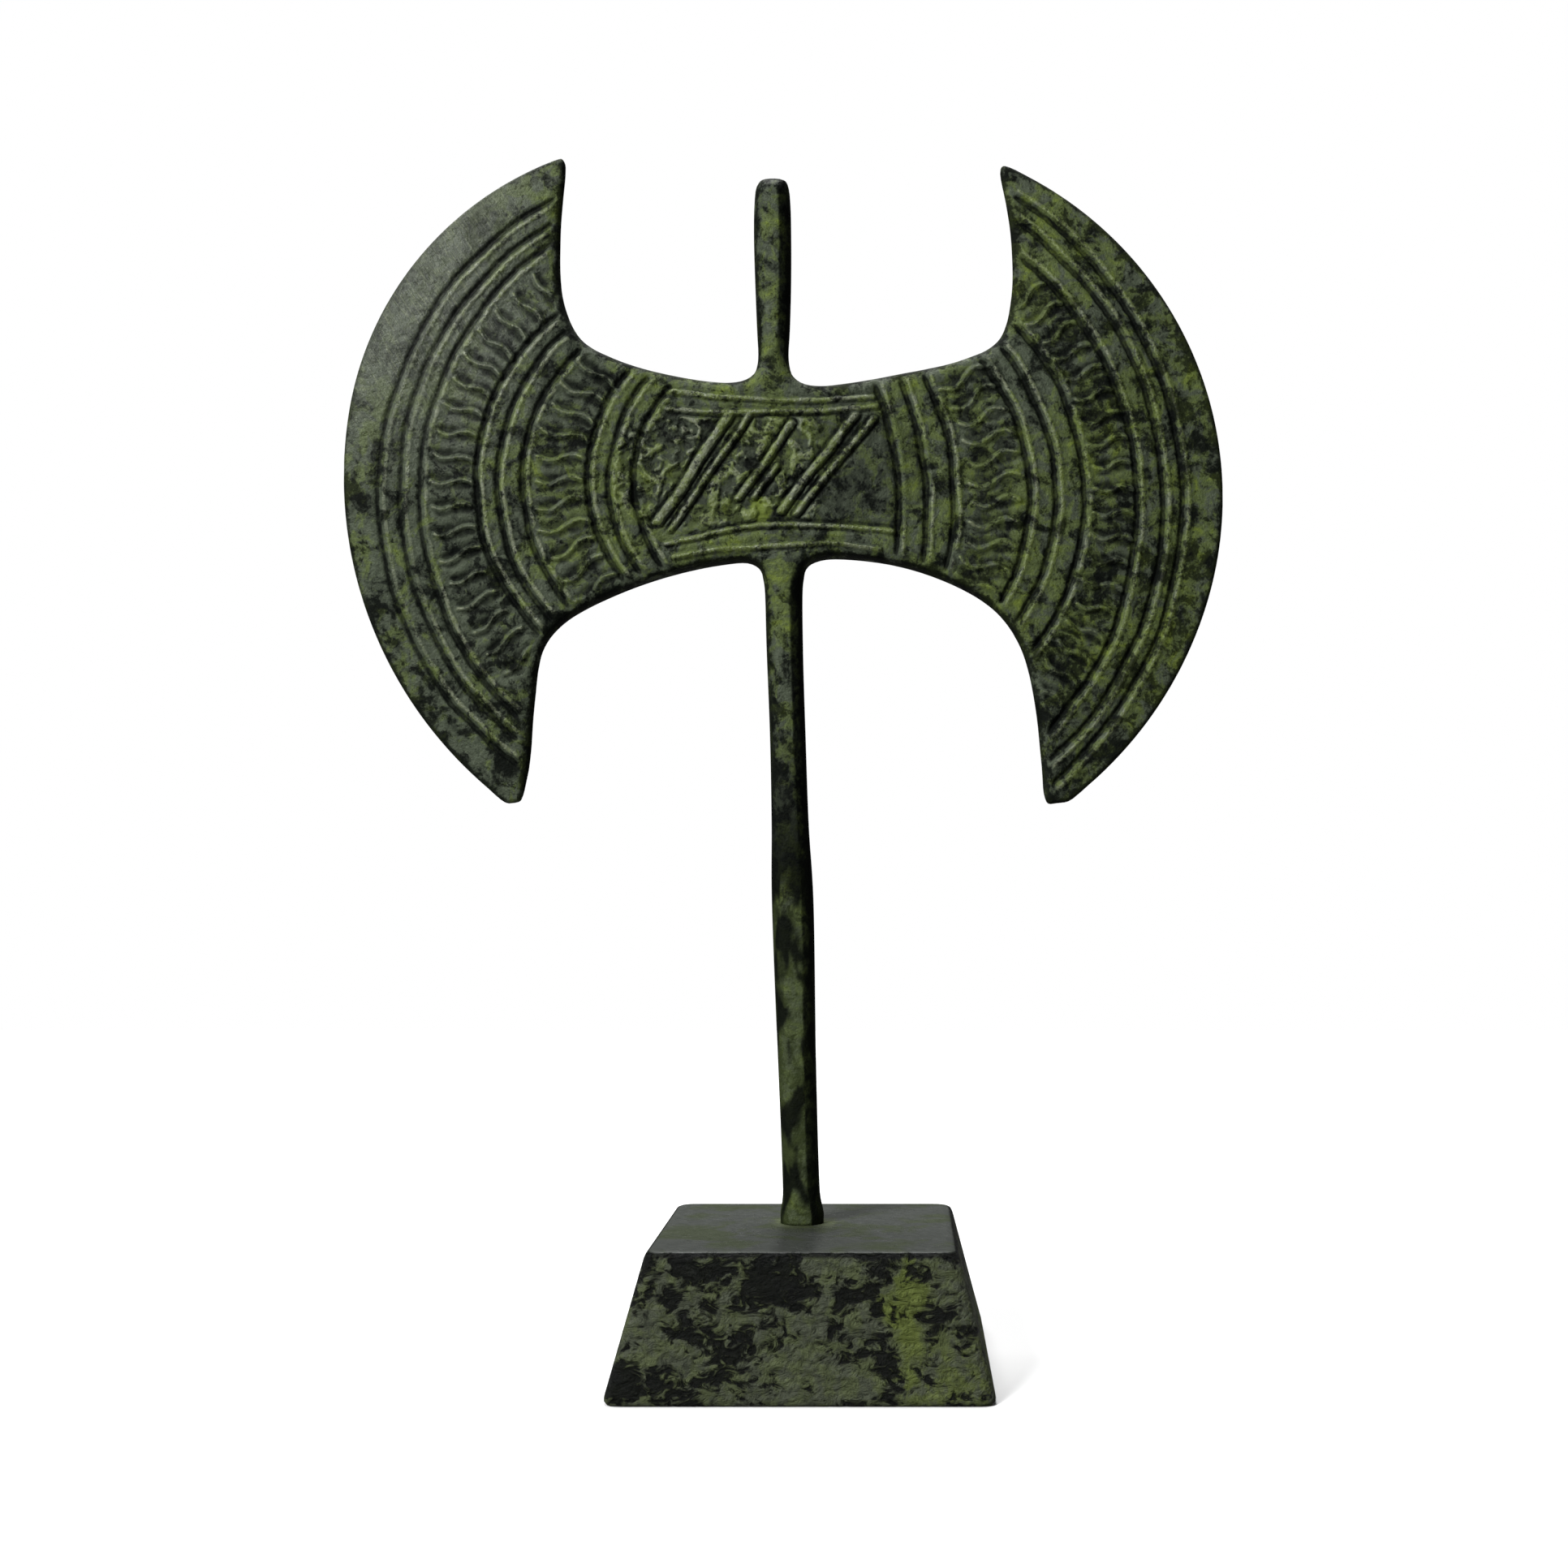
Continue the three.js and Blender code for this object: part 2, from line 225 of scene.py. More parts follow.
outlineSizes = {
    "straight": 0.25,  # degrees: a corner flatter than this is not a corner
    "coarse": 0.8,  # mm between outline points where it runs nearly straight
    "fine": 0.16,  # mm between them in the tightest bends
    "footInBase": 0.4,  # mm that the haft's foot reaches into the base
    "footBand": 1.0,  # mm above the base's top within which a point is the foot's
    "inset": 0.01,  # mm that the outline keeps inside the CAD box
    "bendReach": 3,  # points either side over which a bend is measured
    "perRadius": 0.22,  # spacing of the points, as a share of the bend's radius
    "wingFrom": 22,  # mm from the middle: the horns' tips lie farther out
    "slack": 0.05,  # mm that a cutting edge may lie inside the line between its tips
}


def sectionLoop(source, planeY):
    cut = bmesh.new()
    cut.from_mesh(source.data)
    bmesh.ops.remove_doubles(cut, verts=cut.verts, dist=1e-7)
    geometry = [*cut.verts, *cut.edges, *cut.faces]
    bmesh.ops.bisect_plane(cut, geom=geometry, dist=1e-8, plane_co=(0, planeY * mm, 0),
                           plane_no=(0, 1, 0), clear_outer=True, clear_inner=True)
    bmesh.ops.remove_doubles(cut, verts=cut.verts, dist=5e-6)
    loops, unseen = [], dict.fromkeys(cut.verts)  # a dictionary keeps its order, so each run is the same
    while unseen:
        vert = next(iter(unseen))
        del unseen[vert]
        loop = [vert]
        while True:
            ahead = [e.other_vert(loop[-1]) for e in loop[-1].link_edges]
            ahead = [v for v in ahead if v in unseen]
            if not ahead:
                break
            loop.append(ahead[0])
            del unseen[ahead[0]]
        loops.append(np.array([(v.co.x, v.co.z) for v in loop]) / mm)
    cut.free()
    return max(loops, key=len)


def signedArea(loop):
    x, z = loop[:, 0], loop[:, 1]
    return 0.5 * np.sum(x * np.roll(z, -1) - np.roll(x, -1) * z)


def cornersOnly(loop):
    before = loop - np.roll(loop, 1, axis=0)
    after = np.roll(loop, -1, axis=0) - loop
    turn = before[:, 0] * after[:, 1] - before[:, 1] * after[:, 0]
    turn = np.abs(turn) / (np.linalg.norm(before, axis=1) * np.linalg.norm(after, axis=1))
    return loop[turn > math.sin(math.radians(outlineSizes["straight"]))]


def splineThrough(corners, spacing):
    # a centripetal Catmull-Rom curve, closed, sampled about every spacing
    pieces = []
    for i in range(len(corners)):
        p = [corners[(i + k) % len(corners)] for k in (-1, 0, 1, 2)]
        t = [0.0]
        for a, b in zip(p, p[1:]):
            t.append(t[-1] + max(np.linalg.norm(b - a), 1e-6) ** 0.5)
        count = max(1, round(np.linalg.norm(p[2] - p[1]) / spacing))
        s = np.linspace(t[1], t[2], count, endpoint=False)[:, None]
        a1 = (t[1] - s) / (t[1] - t[0]) * p[0] + (s - t[0]) / (t[1] - t[0]) * p[1]
        a2 = (t[2] - s) / (t[2] - t[1]) * p[1] + (s - t[1]) / (t[2] - t[1]) * p[2]
        a3 = (t[3] - s) / (t[3] - t[2]) * p[2] + (s - t[2]) / (t[3] - t[2]) * p[3]
        b1 = (t[2] - s) / (t[2] - t[0]) * a1 + (s - t[0]) / (t[2] - t[0]) * a2
        b2 = (t[3] - s) / (t[3] - t[1]) * a2 + (s - t[1]) / (t[3] - t[1]) * a3
        pieces.append((t[2] - s) / (t[2] - t[1]) * b1 + (s - t[1]) / (t[2] - t[1]) * b2)
    return np.concatenate(pieces)


def thinByBend(loop):
    # keeps fine points in tight bends and coarse ones along straight runs
    step = np.linalg.norm(np.roll(loop, -1, axis=0) - loop, axis=1)
    heading = np.unwrap(np.arctan2(*(np.roll(loop, -1, axis=0) - loop).T[::-1]))
    reach = outlineSizes["bendReach"]
    bend = np.abs(np.roll(heading, -reach) - np.roll(heading, reach))
    bend = np.minimum(bend, 2 * math.pi - bend)
    stretch = np.convolve(np.tile(step, 3), np.ones(2 * reach), "same")[len(step):2 * len(step)]
    radius = stretch / np.maximum(bend, 1e-4)
    wanted = np.clip(radius * outlineSizes["perRadius"], outlineSizes["fine"], outlineSizes["coarse"])
    kept, gone = [0], 0.0
    for i in range(1, len(loop)):
        gone += step[i - 1]
        if gone >= wanted[i]:
            kept.append(i)
            gone = 0.0
    return loop[kept]


def axeOutline():
    loop = sectionLoop(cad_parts["double_axe"], axeMiddleY)
    if signedArea(loop) < 0:
        loop = loop[::-1]
    loop = np.roll(loop, -np.argmin(loop[:, 0]), axis=0)
    loop = thinByBend(splineThrough(cornersOnly(loop), outlineSizes["fine"] / 2))
    foot = loop[:, 1] < baseTopZ + outlineSizes["footBand"]
    loop[foot, 1] = np.minimum(loop[foot, 1], baseTopZ - outlineSizes["footInBase"])
    inset = outlineSizes["inset"]
    loop[:, 0] = np.clip(loop[:, 0], axeLow.x / mm + inset, axeHigh.x / mm - inset)
    loop[:, 1] = np.minimum(loop[:, 1], axeHigh.z / mm - inset)
    return loop


outline = axeOutline()
footX = outline[outline[:, 1] < baseTopZ][:, 0].mean()
print(f"outline of {len(outline)} points")


# a flat sheet inside the outline, which knows how far each point is from its edges

sheetSizes = {
    "onRim": 0.001,  # mm: a point this near the outline is on it
    "rings": (0.22, 0.6, 1.2, 2.0),  # mm in from the outline
    "fullRings": 2,  # the rings after these have every second point
    "ringClear": 0.96,  # a ring's point nearer the outline than this share of its ring is left out
    "grid": 1.05,  # mm between the points inside
    "gridClear": 0.75,  # the same for the grid, as a share of the last ring
    "levels": 2,  # times that each triangle is split
    "triangles": 188000,  # what the finished axe is thinned to
    "batch": 2000,  # points measured at a time
}
rodSizes = {
    "lineX": -4.5,  # mm: where the rod's line passes through the blade
    "stubZ": (162.4, 167.5),  # mm: the blade turns into the stub between these heights
    "haftZ": (131.6, 126.0),
    "reach": 9.0,  # mm either side of the rod's line that the change takes in
}


def distanceTo(points, starts, ends):
    best = np.full(len(points), 1e9)
    along = ends - starts
    length2 = np.maximum((along ** 2).sum(1), 1e-12)
    batch = sheetSizes["batch"]
    for first in range(0, len(points), batch):
        part = points[first:first + batch, None, :] - starts[None]
        t = np.clip((part * along[None]).sum(2) / length2[None], 0, 1)
        gap = part - t[..., None] * along[None]
        best[first:first + batch] = np.sqrt((gap ** 2).sum(2).min(1))
    return best


def cuttingEdges(loop):
    # the runs of outline that lie outside the straight lines between the horns' tips
    middle = (axeLow.x + axeHigh.x) / 2 / mm
    runs = []
    for side in (-1, 1):
        wing = (loop[:, 0] - middle) * side > outlineSizes["wingFrom"]
        top = loop[np.argmax(np.where(wing, loop[:, 1], -1e9))]
        bottom = loop[np.argmin(np.where(wing, loop[:, 1], 1e9))]
        lineX = bottom[0] + (loop[:, 1] - bottom[1]) * (top[0] - bottom[0]) / (top[1] - bottom[1])
        outside = (loop[:, 0] - lineX) * side > -outlineSizes["slack"]
        runs.append(wing & outside)
    return runs[0] | runs[1]


def smoothShare(value, low, high):
    t = np.clip((value - low) / (high - low), 0, 1)
    return t * t * (3 - 2 * t)


def isInside(points, loop):
    crossings = np.zeros(len(points), int)
    for a, b in zip(loop, np.roll(loop, -1, axis=0)):
        if a[1] == b[1]:
            continue
        spans = (a[1] > points[:, 1]) != (b[1] > points[:, 1])
        atX = a[0] + (points[:, 1] - a[1]) * (b[0] - a[0]) / (b[1] - a[1])
        crossings += spans & (points[:, 0] < atX)
    return crossings % 2 == 1


def sheetPoints(loop):
    nextPoint = np.roll(loop, -1, axis=0)
    direction = np.roll(loop, -1, axis=0) - np.roll(loop, 1, axis=0)
    direction /= np.linalg.norm(direction, axis=1)[:, None]
    inward = np.stack([-direction[:, 1], direction[:, 0]], 1)
    groups = []
    for number, ring in enumerate(sheetSizes["rings"]):
        every = 1 if number < sheetSizes["fullRings"] else 2
        moved = (loop + inward * ring)[::every]
        clear = distanceTo(moved, loop, nextPoint) > ring * sheetSizes["ringClear"]
        groups.append(moved[clear])
    low, high = loop.min(0), loop.max(0)
    step = sheetSizes["grid"]
    rowStep = step * math.sqrt(3) / 2
    rows = np.arange(low[1], high[1], rowStep)
    grid = []
    for number, z in enumerate(rows):
        x = np.arange(low[0] + (number % 2) * step / 2, high[0], step)
        grid.append(np.stack([x, np.full(len(x), z)], 1))
    grid = np.concatenate(grid)
    clear = distanceTo(grid, loop, nextPoint) > sheetSizes["rings"][-1] * sheetSizes["gridClear"]
    groups.append(grid[clear & isInside(grid, loop)])
    return groups


def makeSheet(loop):
    points = np.concatenate([loop, *sheetPoints(loop)])
    rim = list(range(len(loop)))
    flat = [Vector(p) for p in points]
    verts, _, faces, *_ = delaunay_2d_cdt(flat, [], [rim], 1, 1e-7, False)
    place = np.array([(v.x, v.y) for v in verts])
    middles = np.array([place[list(face)].mean(0) for face in faces])
    faces = [face for face, inside in zip(faces, isInside(middles, loop)) if inside]
    nextPoint = np.roll(loop, -1, axis=0)
    onFoot = (loop[:, 1] < baseTopZ) & (nextPoint[:, 1] < baseTopZ)
    cutting = cuttingEdges(loop)
    cutting = cutting & np.roll(cutting, -1)
    nearRod = np.abs(place[:, 0] - rodSizes["lineX"]) < rodSizes["reach"]
    stub = smoothShare(place[:, 1], *rodSizes["stubZ"])
    haft = smoothShare(-place[:, 1], *(-z for z in rodSizes["haftZ"]))
    rimGap = distanceTo(place, loop, nextPoint)
    rimGap[rimGap < sheetSizes["onRim"]] = 0.0  # so that the front and the back meet there exactly
    values = {
        "edgeGap": distanceTo(place, loop[~onFoot], nextPoint[~onFoot]),
        "rimGap": rimGap,
        "cutGap": distanceTo(place, loop[cutting], nextPoint[cutting]),
        "rodShare": np.where(nearRod, stub + haft, 0.0),
    }
    mesh = bpy.data.meshes.new("axeSheet")
    mesh.from_pydata([(x, 0.0, z) for x, z in place], [], faces)
    for name, value in values.items():
        attribute = mesh.attributes.new(name, "FLOAT", "POINT")
        attribute.data.foreach_set("value", value.astype(np.float32))
    sheet = bpy.data.objects.new("double_axe_shape", mesh)
    bpy.context.scene.collection.objects.link(sheet)
    return sheet


# what is carved on the blade: guides drawn in the X-Z plane, in mm

carvedGroups = {
    # outermost and innermost groove of a group: top end, middle, bottom end; and where the third one runs
    "leftOuter": {"outermost": ((-42.8, 193.1), (-72.4, 144.9), (-48.8, 97.4)),
                  "innermost": ((-43.6, 185.3), (-65.4, 144.9), (-48.9, 105.6)), "between": 0.53},
    "leftMiddle": {"outermost": ((-41.2, 173.7), (-55.9, 144.9), (-45.0, 119.0)),
                   "innermost": ((-38.0, 167.4), (-48.1, 144.9), (-39.8, 123.0)), "between": 0.46},
    "leftInner": {"outermost": ((-30.4, 163.2), (-37.1, 144.9), (-30.6, 127.1)),
                  "innermost": ((-23.7, 160.5), (-29.7, 144.9), (-23.9, 129.5)), "between": 0.47},
    "rightInner": {"outermost": ((18.6, 163.2), (23.6, 143.6), (22.4, 128.9)),
                   "innermost": ((10.6, 161.5), (14.6, 143.6), (14.3, 132.0)), "between": 0.49},
    "rightMiddle": {"outermost": ((34.4, 171.0), (45.6, 143.6), (36.7, 115.6)),
                    "innermost": ((28.0, 165.6), (36.4, 143.6), (31.1, 123.7)), "between": 0.53},
    "rightOuter": {"outermost": ((34.5, 193.1), (62.0, 143.6), (40.3, 94.4)),
                   "innermost": ((34.4, 183.5), (54.4, 143.6), (38.8, 102.2)), "between": 0.42},
}
lipGap = 1.15  # mm from a groove's middle to the thin ridge on its right
strokeBands = {
    # a band of wavy strokes runs between two neighbouring grooves, given from left to right
    "leftOuterBand": {"left": ("leftOuter", "innermost"), "right": ("leftMiddle", "outermost"),
                      "span": (0.04, 0.97), "count": 18, "length": 7.2, "wave": 0.5},
    "leftInnerBand": {"left": ("leftMiddle", "innermost"), "right": ("leftInner", "outermost"),
                      "span": (0.08, 0.96), "count": 11, "length": 8.6, "wave": 0.68},
    "rightInnerBand": {"left": ("rightInner", "outermost"), "right": ("rightMiddle", "innermost"),
                       "span": (0.08, 0.97), "count": 11, "length": 8.8, "wave": 0.95},
    "rightOuterBand": {"left": ("rightMiddle", "outermost"), "right": ("rightOuter", "innermost"),
                       "span": (0.04, 0.97), "count": 19, "length": 7.0, "wave": 0.6},
}
bandShift = 0.58  # how far across its band a stroke's middle lies, from the left
bandSteps = 80
panelSizes = {
    "ribs": (
        ((-23.8, 159.4), (-15, 158.4), (-6.5, 158.1), (2, 158.1), (10.4, 158.9)),
        ((-23.8, 156.3), (-15, 156.0), (-6.5, 156.0), (2, 156.3), (11.0, 157.2)),
        ((-23.9, 133.8), (-15, 136.0), (-6.4, 136.8), (4, 136.9), (14.0, 136.2)),
        ((-22.6, 131.5), (-15, 132.9), (-6.4, 133.7), (3, 133.8), (11.6, 132.9)),
    ),
    "bars": (  # lower end, upper end, and how much wider than a rib it is
        ((-25.9, 137.3), (-13.8, 155.3), 0.85),
        ((-23.1, 136.0), (-10.1, 155.6), 0.1),
        ((-11.9, 141.3), (-3.2, 154.2), 0.3),
        ((-9.3, 141.6), (-5.6, 147.0), 0.0),
        ((-5.2, 139.3), (7.3, 155.6), 0.5),
        ((-2.4, 138.9), (10.4, 155.1), 0.2),
    ),
    "step": 0.45,  # mm between the ridges that make up a broad bar
    "middle": ((-24, 146), (11, 146)),
    "ribSeed": 40,
    "barSeed": 60,
}
handWobble = {
    "across": 0.22,  # mm either way
    "scale": 0.11,  # per mm
    "step": 0.8,  # mm between the points of a straight line
    "apart": 3.7,  # between one line's wobble and the next one's
}


def arcThrough(ends, steps=60):
    top, middle, bottom = (np.array(p, float) for p in ends)
    a, b = middle - top, bottom - top
    cross = 2 * (a[0] * b[1] - a[1] * b[0])
    centre = top + np.array([b[1] * (a @ a) - a[1] * (b @ b), a[0] * (b @ b) - b[0] * (a @ a)]) / cross
    radius = np.linalg.norm(top - centre)
    side = np.sign(middle[0] - centre[0])
    angles = [math.atan2(p[1] - centre[1], side * (p[0] - centre[0])) for p in (top, bottom)]
    angle = np.linspace(*angles, steps + 1)
    return centre + radius * np.stack([side * np.cos(angle), np.sin(angle)], 1)


def wobbled(points, seed):
    ahead = np.gradient(points, axis=0)
    ahead /= np.linalg.norm(ahead, axis=1)[:, None]
    across = np.stack([-ahead[:, 1], ahead[:, 0]], 1)
    scale = handWobble["scale"]
    drift = [noise.noise((x * scale, z * scale, seed * handWobble["apart"])) for x, z in points]
    return points + across * (np.array(drift) * 2 * handWobble["across"])[:, None]


def polyline(points):
    points = np.array(points, float)
    gaps = np.linalg.norm(np.diff(points, axis=0), axis=1)
    along = np.concatenate([[0], np.cumsum(gaps)])
    t = np.linspace(0, along[-1], max(2, round(along[-1] / handWobble["step"])))
    return np.stack([np.interp(t, along, points[:, k]) for k in (0, 1)], 1)


def guideObject(name, paths):
    verts, edges = [], []
    for path in paths:
        first = len(verts)
        verts += [(x, 0.0, z) for x, z in path]
        edges += [(first + i, first + i + 1) for i in range(len(path) - 1)]
    mesh = bpy.data.meshes.new(name)
    mesh.from_pydata(verts, edges, [])
    guide = bpy.data.objects.new(name, mesh)
    bpy.context.scene.collection.objects.link(guide)
    return guide


def mixEnds(first, second, share):
    return [tuple(np.array(a) * (1 - share) + np.array(b) * share) for a, b in zip(first, second)]


def linePaths():
    paths = []
    for group in carvedGroups.values():
        for share in (0.0, group["between"], 1.0):
            ends = mixEnds(group["outermost"], group["innermost"], share)
            paths.append(wobbled(arcThrough(ends), len(paths)))
    return paths


def lipPath(path):
    ahead = np.gradient(path, axis=0)
    ahead /= np.linalg.norm(ahead, axis=1)[:, None]
    rightward = np.stack([-ahead[:, 1], ahead[:, 0]], 1)
    rightward *= np.sign(rightward[:, :1])
    return path + rightward * lipGap


def bandPath(band):
    left, right = (carvedGroups[group][line] for group, line in (band["left"], band["right"]))
    path = arcThrough(mixEnds(left, right, bandShift), bandSteps)
    first, last = (round(share * bandSteps) for share in band["span"])
    return path[first:last + 1]


def panelGuides():
    ribs = [wobbled(polyline(path), panelSizes["ribSeed"] + i) for i, path in enumerate(panelSizes["ribs"])]
    bars = []
    for number, (low, high, wider) in enumerate(panelSizes["bars"]):
        path = wobbled(polyline((low, high)), panelSizes["barSeed"] + number)
        count = 1 + math.ceil(wider / panelSizes["step"])
        bars += [path + (shift, 0.0) for shift in np.linspace(0, wider, count)]
    return guideObject("panelGuides", ribs + bars)


# geometry nodes: wavy strokes set out along a band

strokeShape = {
    "points": 17,  # along one stroke
    "pocketEnds": {"Start": (0.40, 0.75), "End": (0.13, 0.95)},  # shares of its length and of the pocket gap
    "size": 0.95,
    "sizeJitter": 0.8,  # a share of the jitter
    "sizeSeed": 7.0,
    "seed": 11,
}


def strokeTree():
    tree = bpy.data.node_groups.new("wavyStrokes", "GeometryNodeTree")
    ports = tree.interface
    ports.new_socket("Band", in_out="INPUT", socket_type="NodeSocketGeometry")
    for name, kind, value in (("Count", "Int", 12), ("Length", "Float", 8.0), ("Wave", "Float", 0.6),
                              ("Jitter", "Float", 0.12), ("Seed", "Int", 1),
                              ("Pockets", "Bool", False), ("Pocket Gap", "Float", 1.0)):
        port = ports.new_socket(name, in_out="INPUT", socket_type=f"NodeSocket{kind}")
        port.default_value = value
    ports.new_socket("Strokes", in_out="OUTPUT", socket_type="NodeSocketGeometry")
    given = node(tree, "NodeGroupInput").outputs
    # one stroke: a line along X, waved once
    half = times(given["Length"], 0.5)
    start = node(tree, "ShaderNodeCombineXYZ", {"X": times(half, -1.0)})
    end = node(tree, "ShaderNodeCombineXYZ", {"X": half})
    line = node(tree, "GeometryNodeCurvePrimitiveLine",
                {"Start": start.outputs[0], "End": end.outputs[0]})
    fine = node(tree, "GeometryNodeResampleCurve",
                {"Curve": line.outputs[0], "Count": strokeShape["points"]})
    share = node(tree, "GeometryNodeSplineParameter").outputs["Factor"]
    angle = times(share, 2 * math.pi)
    rise = times(calc("MULTIPLY", calc("SINE", angle), -1.0), given["Wave"])
    lift = node(tree, "ShaderNodeCombineXYZ", {"Z": rise})
    waved = node(tree, "GeometryNodeSetPosition",
                 {"Geometry": fine.outputs[0], "Offset": lift.outputs[0]})
    # its pockets: one above its trough, one below its crest
    pockets = node(tree, "GeometryNodeJoinGeometry")
    for sign in (-1.0, 1.0):
        ends = {}
        for key, (across, drop) in strokeShape["pocketEnds"].items():
            ends[key] = node(tree, "ShaderNodeCombineXYZ", {
                "X": times(given["Length"], sign * across),
                "Z": times(given["Pocket Gap"], -sign * drop)}).outputs[0]
        pocket = node(tree, "GeometryNodeCurvePrimitiveLine", ends)
        tree.links.new(pocket.outputs[0], pockets.inputs[0])
    shape = node(tree, "GeometryNodeSwitch", {"Switch": given["Pockets"], "False": waved.outputs[0],
                                              "True": pockets.outputs[0]}, input_type="GEOMETRY")
    # set out along the band, each turned square to it, and a little uneven
    path = node(tree, "GeometryNodeMeshToCurve", {"Mesh": given["Band"]})
    spots = node(tree, "GeometryNodeCurveToPoints", {"Curve": path.outputs[0], "Count": given["Count"]})
    turned = node(tree, "FunctionNodeAlignRotationToVector",
                  {"Vector": spots.outputs["Tangent"]}, axis="Z", pivot_axis="Y")

    def randomFloat(spread, offset):
        made = node(tree, "FunctionNodeRandomValue", data_type="FLOAT")
        least, most = [s for s in made.inputs if s.enabled][:2]
        plug(least, times(spread, -1.0))
        plug(most, spread)
        plug(made.inputs["Seed"], plus(given["Seed"], offset))
        return next(s for s in made.outputs if s.enabled)

    tilt = node(tree, "ShaderNodeCombineXYZ", {"Y": randomFloat(given["Jitter"], 0.0)})
    tilted = node(tree, "FunctionNodeRotateRotation",
                  {"Rotation": turned.outputs[0], "Rotate By": tilt.outputs[0]})
    sizeSpread = times(given["Jitter"], strokeShape["sizeJitter"])
    size = plus(strokeShape["size"], randomFloat(sizeSpread, strokeShape["sizeSeed"]))
    placed = node(tree, "GeometryNodeInstanceOnPoints",
                  {"Points": spots.outputs["Points"], "Instance": shape.outputs[0],
                   "Rotation": tilted.outputs[0], "Scale": size})
    real = node(tree, "GeometryNodeRealizeInstances", {"Geometry": placed.outputs[0]})
    edges = node(tree, "GeometryNodeCurveToMesh", {"Curve": real.outputs[0]})
    node(tree, "NodeGroupOutput", {"Strokes": edges.outputs[0]})
    return tree


# geometry nodes: the cast and carved axe, worked out in mm from the flat sheet

axeSizes = {
    "Levels": sheetSizes["levels"],
    "Edge Half": 0.8,  # half the thickness at a cutting edge
    "Middle Half": 3.55,  # and at the haft
    "Middle Depth": 74.0,  # from a cutting edge to the haft
    "Bevel Width": 2.4,  # soft bevel along the horns' inner sides
    "Bevel Depth": 1.0,
    "Rim Round": 0.7,
    "Rod Half": 3.1,
    "Rod Flat": 1.25,  # half the height of the rod's side flats
    "Rod Softness": 0.5,  # how softly two of its flats meet
    "Line Width": 0.72,
    "Line Depth": 0.55,
    "Line Shoulder": -0.1,  # height beside a line, as a share of its depth
    "Faint Line": 0.68,  # the share of that depth left beside the left cutting edge
    "Lip Width": 0.62,
    "Lip Height": 0.26,
    "Stroke Width": 0.72,
    "Stroke Height": 0.46,
    "Stroke Foot": -0.2,  # height of the ground at a stroke's foot
    "Band Depth": 0.12,
    "Pocket Width": 0.9,
    "Pocket Depth": 0.17,
    "Rib Width": 0.68,
    "Rib Height": 0.33,
    "Rib Groove": 0.2,  # how deep the groove beside a rib or bar is
    "Ground Level": -0.22,  # height of the panel's ground
    "Ground Marks": 0.42,  # height of the marks that work it
    "Plain End": 0.12,  # the share of that left at the panel's right end
    "Back Strokes": 0.35,  # height on the back, as a share of the front's
    "Roughened": 0.12,  # mm that carved edges wander at a fine scale
    "Hand Unevenness": 0.12,
    "Dint Height": 0.1,
    "Weld": 0.001,
}
reliefFades = {
    # mm from an edge or a guide between which each one comes or goes
    "innerSide": (0.5, 7.0),
    "band": (2.2, 3.8),
    "panel": (8.6, 10.6),
    "clearOfEdge": (0.5, 2.3),
    "faintX": (-65.0, -58.0),  # and these two run along X
    "plainEndX": (0.0, 4.0),
}
profiles = {
    # how many widths from its guide each one reaches, and the share of that which is flat
    "groove": (1.0, 0.0),
    "shoulder": (2.4, 0.6),
    "stroke": (1.0, 0.1),
    "strokeFoot": (2.2, 0.3),
    "rib": (1.0, 0.3),
    "ribFoot": (1.9, 0.55),
    "lip": (1.0, 0.25),
    "pocket": (1.0, 0.0),
}
handMarks = {
    # noise scales are per mm
    "wanderScale": 0.6,
    "wanderSpread": 5.0,  # makes up for a noise that keeps near its middle
    "unevenScale": 0.1,
    "dintScale": 0.45,
    "groundScale": 0.34,
    "groundCut": (0.46, 0.54),  # noise between these is a mark's flank
}


def proximity(target, flatPlace):
    made = node(target.id_data, "GeometryNodeProximity", target_element="EDGES")
    plug(made.inputs[0], target)
    plug(made.inputs["Sample Position"], flatPlace)
    return made.outputs["Distance"]


